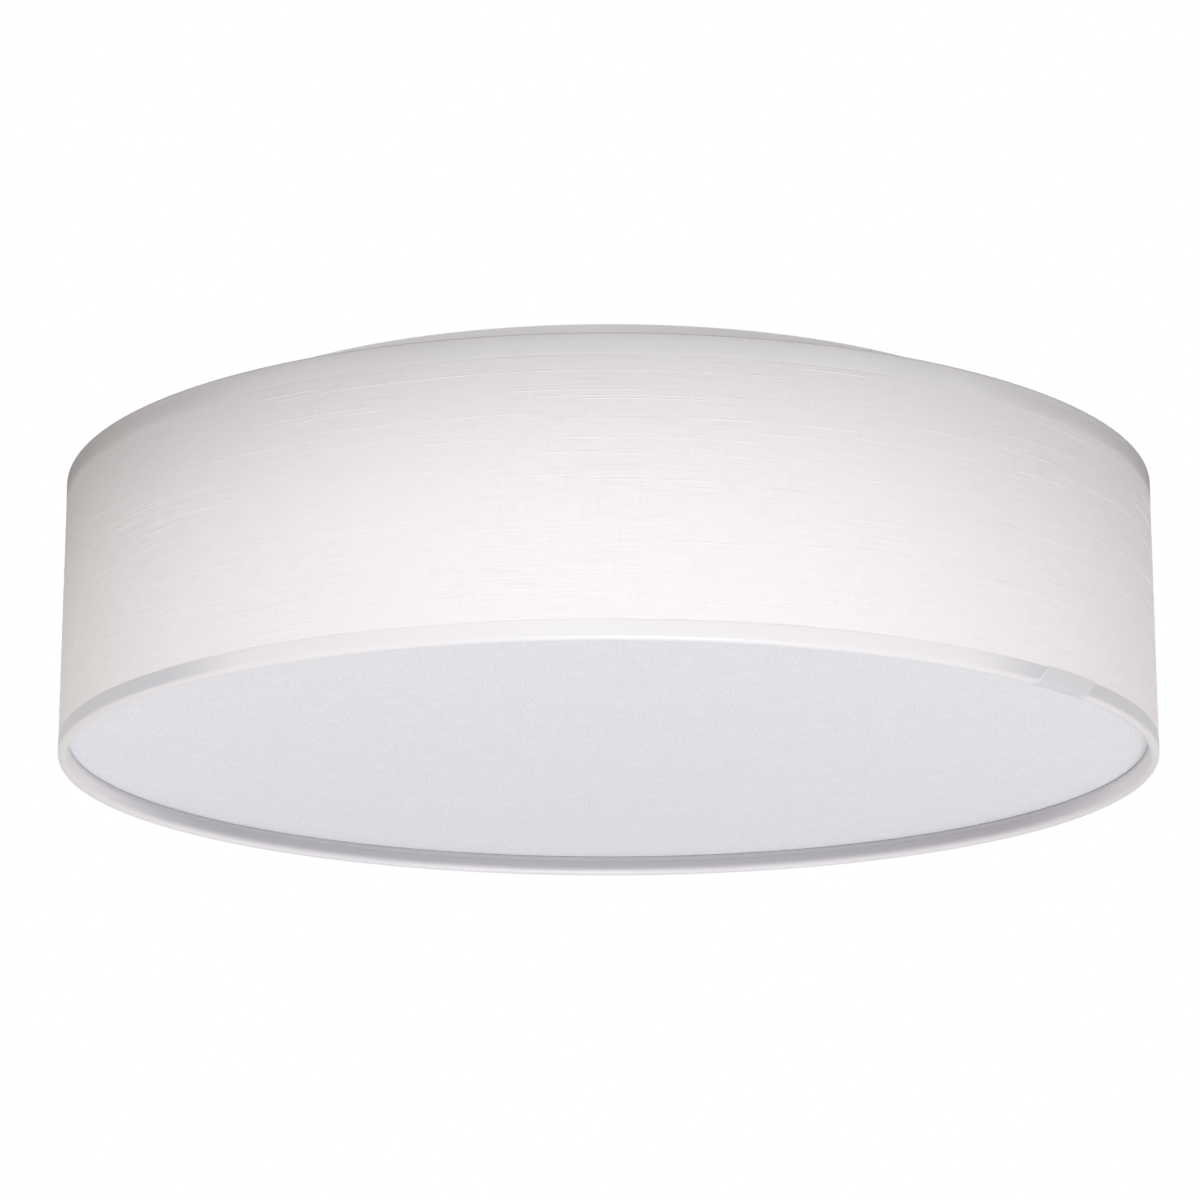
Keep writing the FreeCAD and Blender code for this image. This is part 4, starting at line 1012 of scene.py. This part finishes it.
def makeStuds():
    low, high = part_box("shade_studs")
    wide, tall = studs["head"]
    under = high[2] - tall
    turns = [math.radians(turn) for turn in studs["turns"]]
    piece = growWith("threadedStuds", studTree(under - low[2]), {
        "Head Radius": wide, "Head Height": tall, "Core": studs["core"], "Thread": studs["thread"],
        "Material": materials["zinc_steel"],
    }, [(studs["at"] * math.cos(turn), studs["at"] * math.sin(turn), under) for turn in turns])
    sharpenEdges(piece)
    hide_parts("shade_studs")
    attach(piece, "fixture")


# the bulbs' threaded caps
caps = {
    "level": -62 * mm,  # of the bulbs' axes
    "start": 35 * mm,  # distance from the centre, along the bulb's axis
    "cone": 3.6 * mm,
    "pitch": 3.62 * mm,
    "turns": 5,
    "tip": 4.5 * mm,
    "root": 12.4 * mm,
    "crest": 13.2 * mm,
    "fade": 1 * mm,  # the thread dies away over this length at both ends
    "rows": 70,
    "around": 56,
}


def makeBulbCap(number, towards):
    # a rolled thread: the radius rises and falls with the height and with the turn round the axis
    foot = caps["start"] + caps["cone"]
    top = foot + caps["pitch"] * caps["turns"]
    rows, around, fadeOver = caps["rows"], caps["around"], caps["fade"]
    heading = math.radians(towards)
    out, up = Vector((math.cos(heading), math.sin(heading), 0)), Vector((0, 0, 1))
    side = Vector((-math.sin(heading), math.cos(heading), 0))

    def ring(reach, radiusAt):
        points = []
        for step in range(around):
            turn = math.tau * step / around
            offset = (side * math.cos(turn) + up * math.sin(turn)) * radiusAt(turn)
            points.append(tuple(out * reach + offset + up * caps["level"]))
        return points

    def threadAt(reach):
        swell = (caps["crest"] - caps["root"]) / 2
        fade = smoothStep(foot, foot + fadeOver, reach) * (1 - smoothStep(top - fadeOver, top, reach))
        wave = math.tau * (reach - foot) / caps["pitch"]
        return lambda turn: caps["root"] + swell * fade * (1 + math.sin(wave - turn))

    vertices = ring(caps["start"], lambda turn: caps["tip"])
    for row in range(rows + 1):
        reach = foot + (top - foot) * row / rows
        vertices += ring(reach, threadAt(reach))
    faces = []
    for row in range(rows + 1):
        for step in range(around):
            here, after = row * around + step, row * around + (step + 1) % around
            faces.append((here, after, after + around, here + around))
    faces.append(tuple(range(around)))
    faces.append(tuple(range((rows + 1) * around, (rows + 2) * around)))
    piece = meshObject(f"bulbCap{number}", vertices, faces, materials["nickel_brass"])
    for face in piece.data.polygons[-2:]:
        face.use_smooth = False
    shell = bmesh.new()
    shell.from_mesh(piece.data)
    bmesh.ops.recalc_face_normals(shell, faces=shell.faces)
    shell.to_mesh(piece.data)
    shell.free()
    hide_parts(f"bulb_cap_{number}")
    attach(piece, f"bulb_{number}")


makeStuds()
for capNumber, heading in enumerate(lampHeadings, 1):
    makeBulbCap(capNumber, heading)
print("studs and bulb caps made")
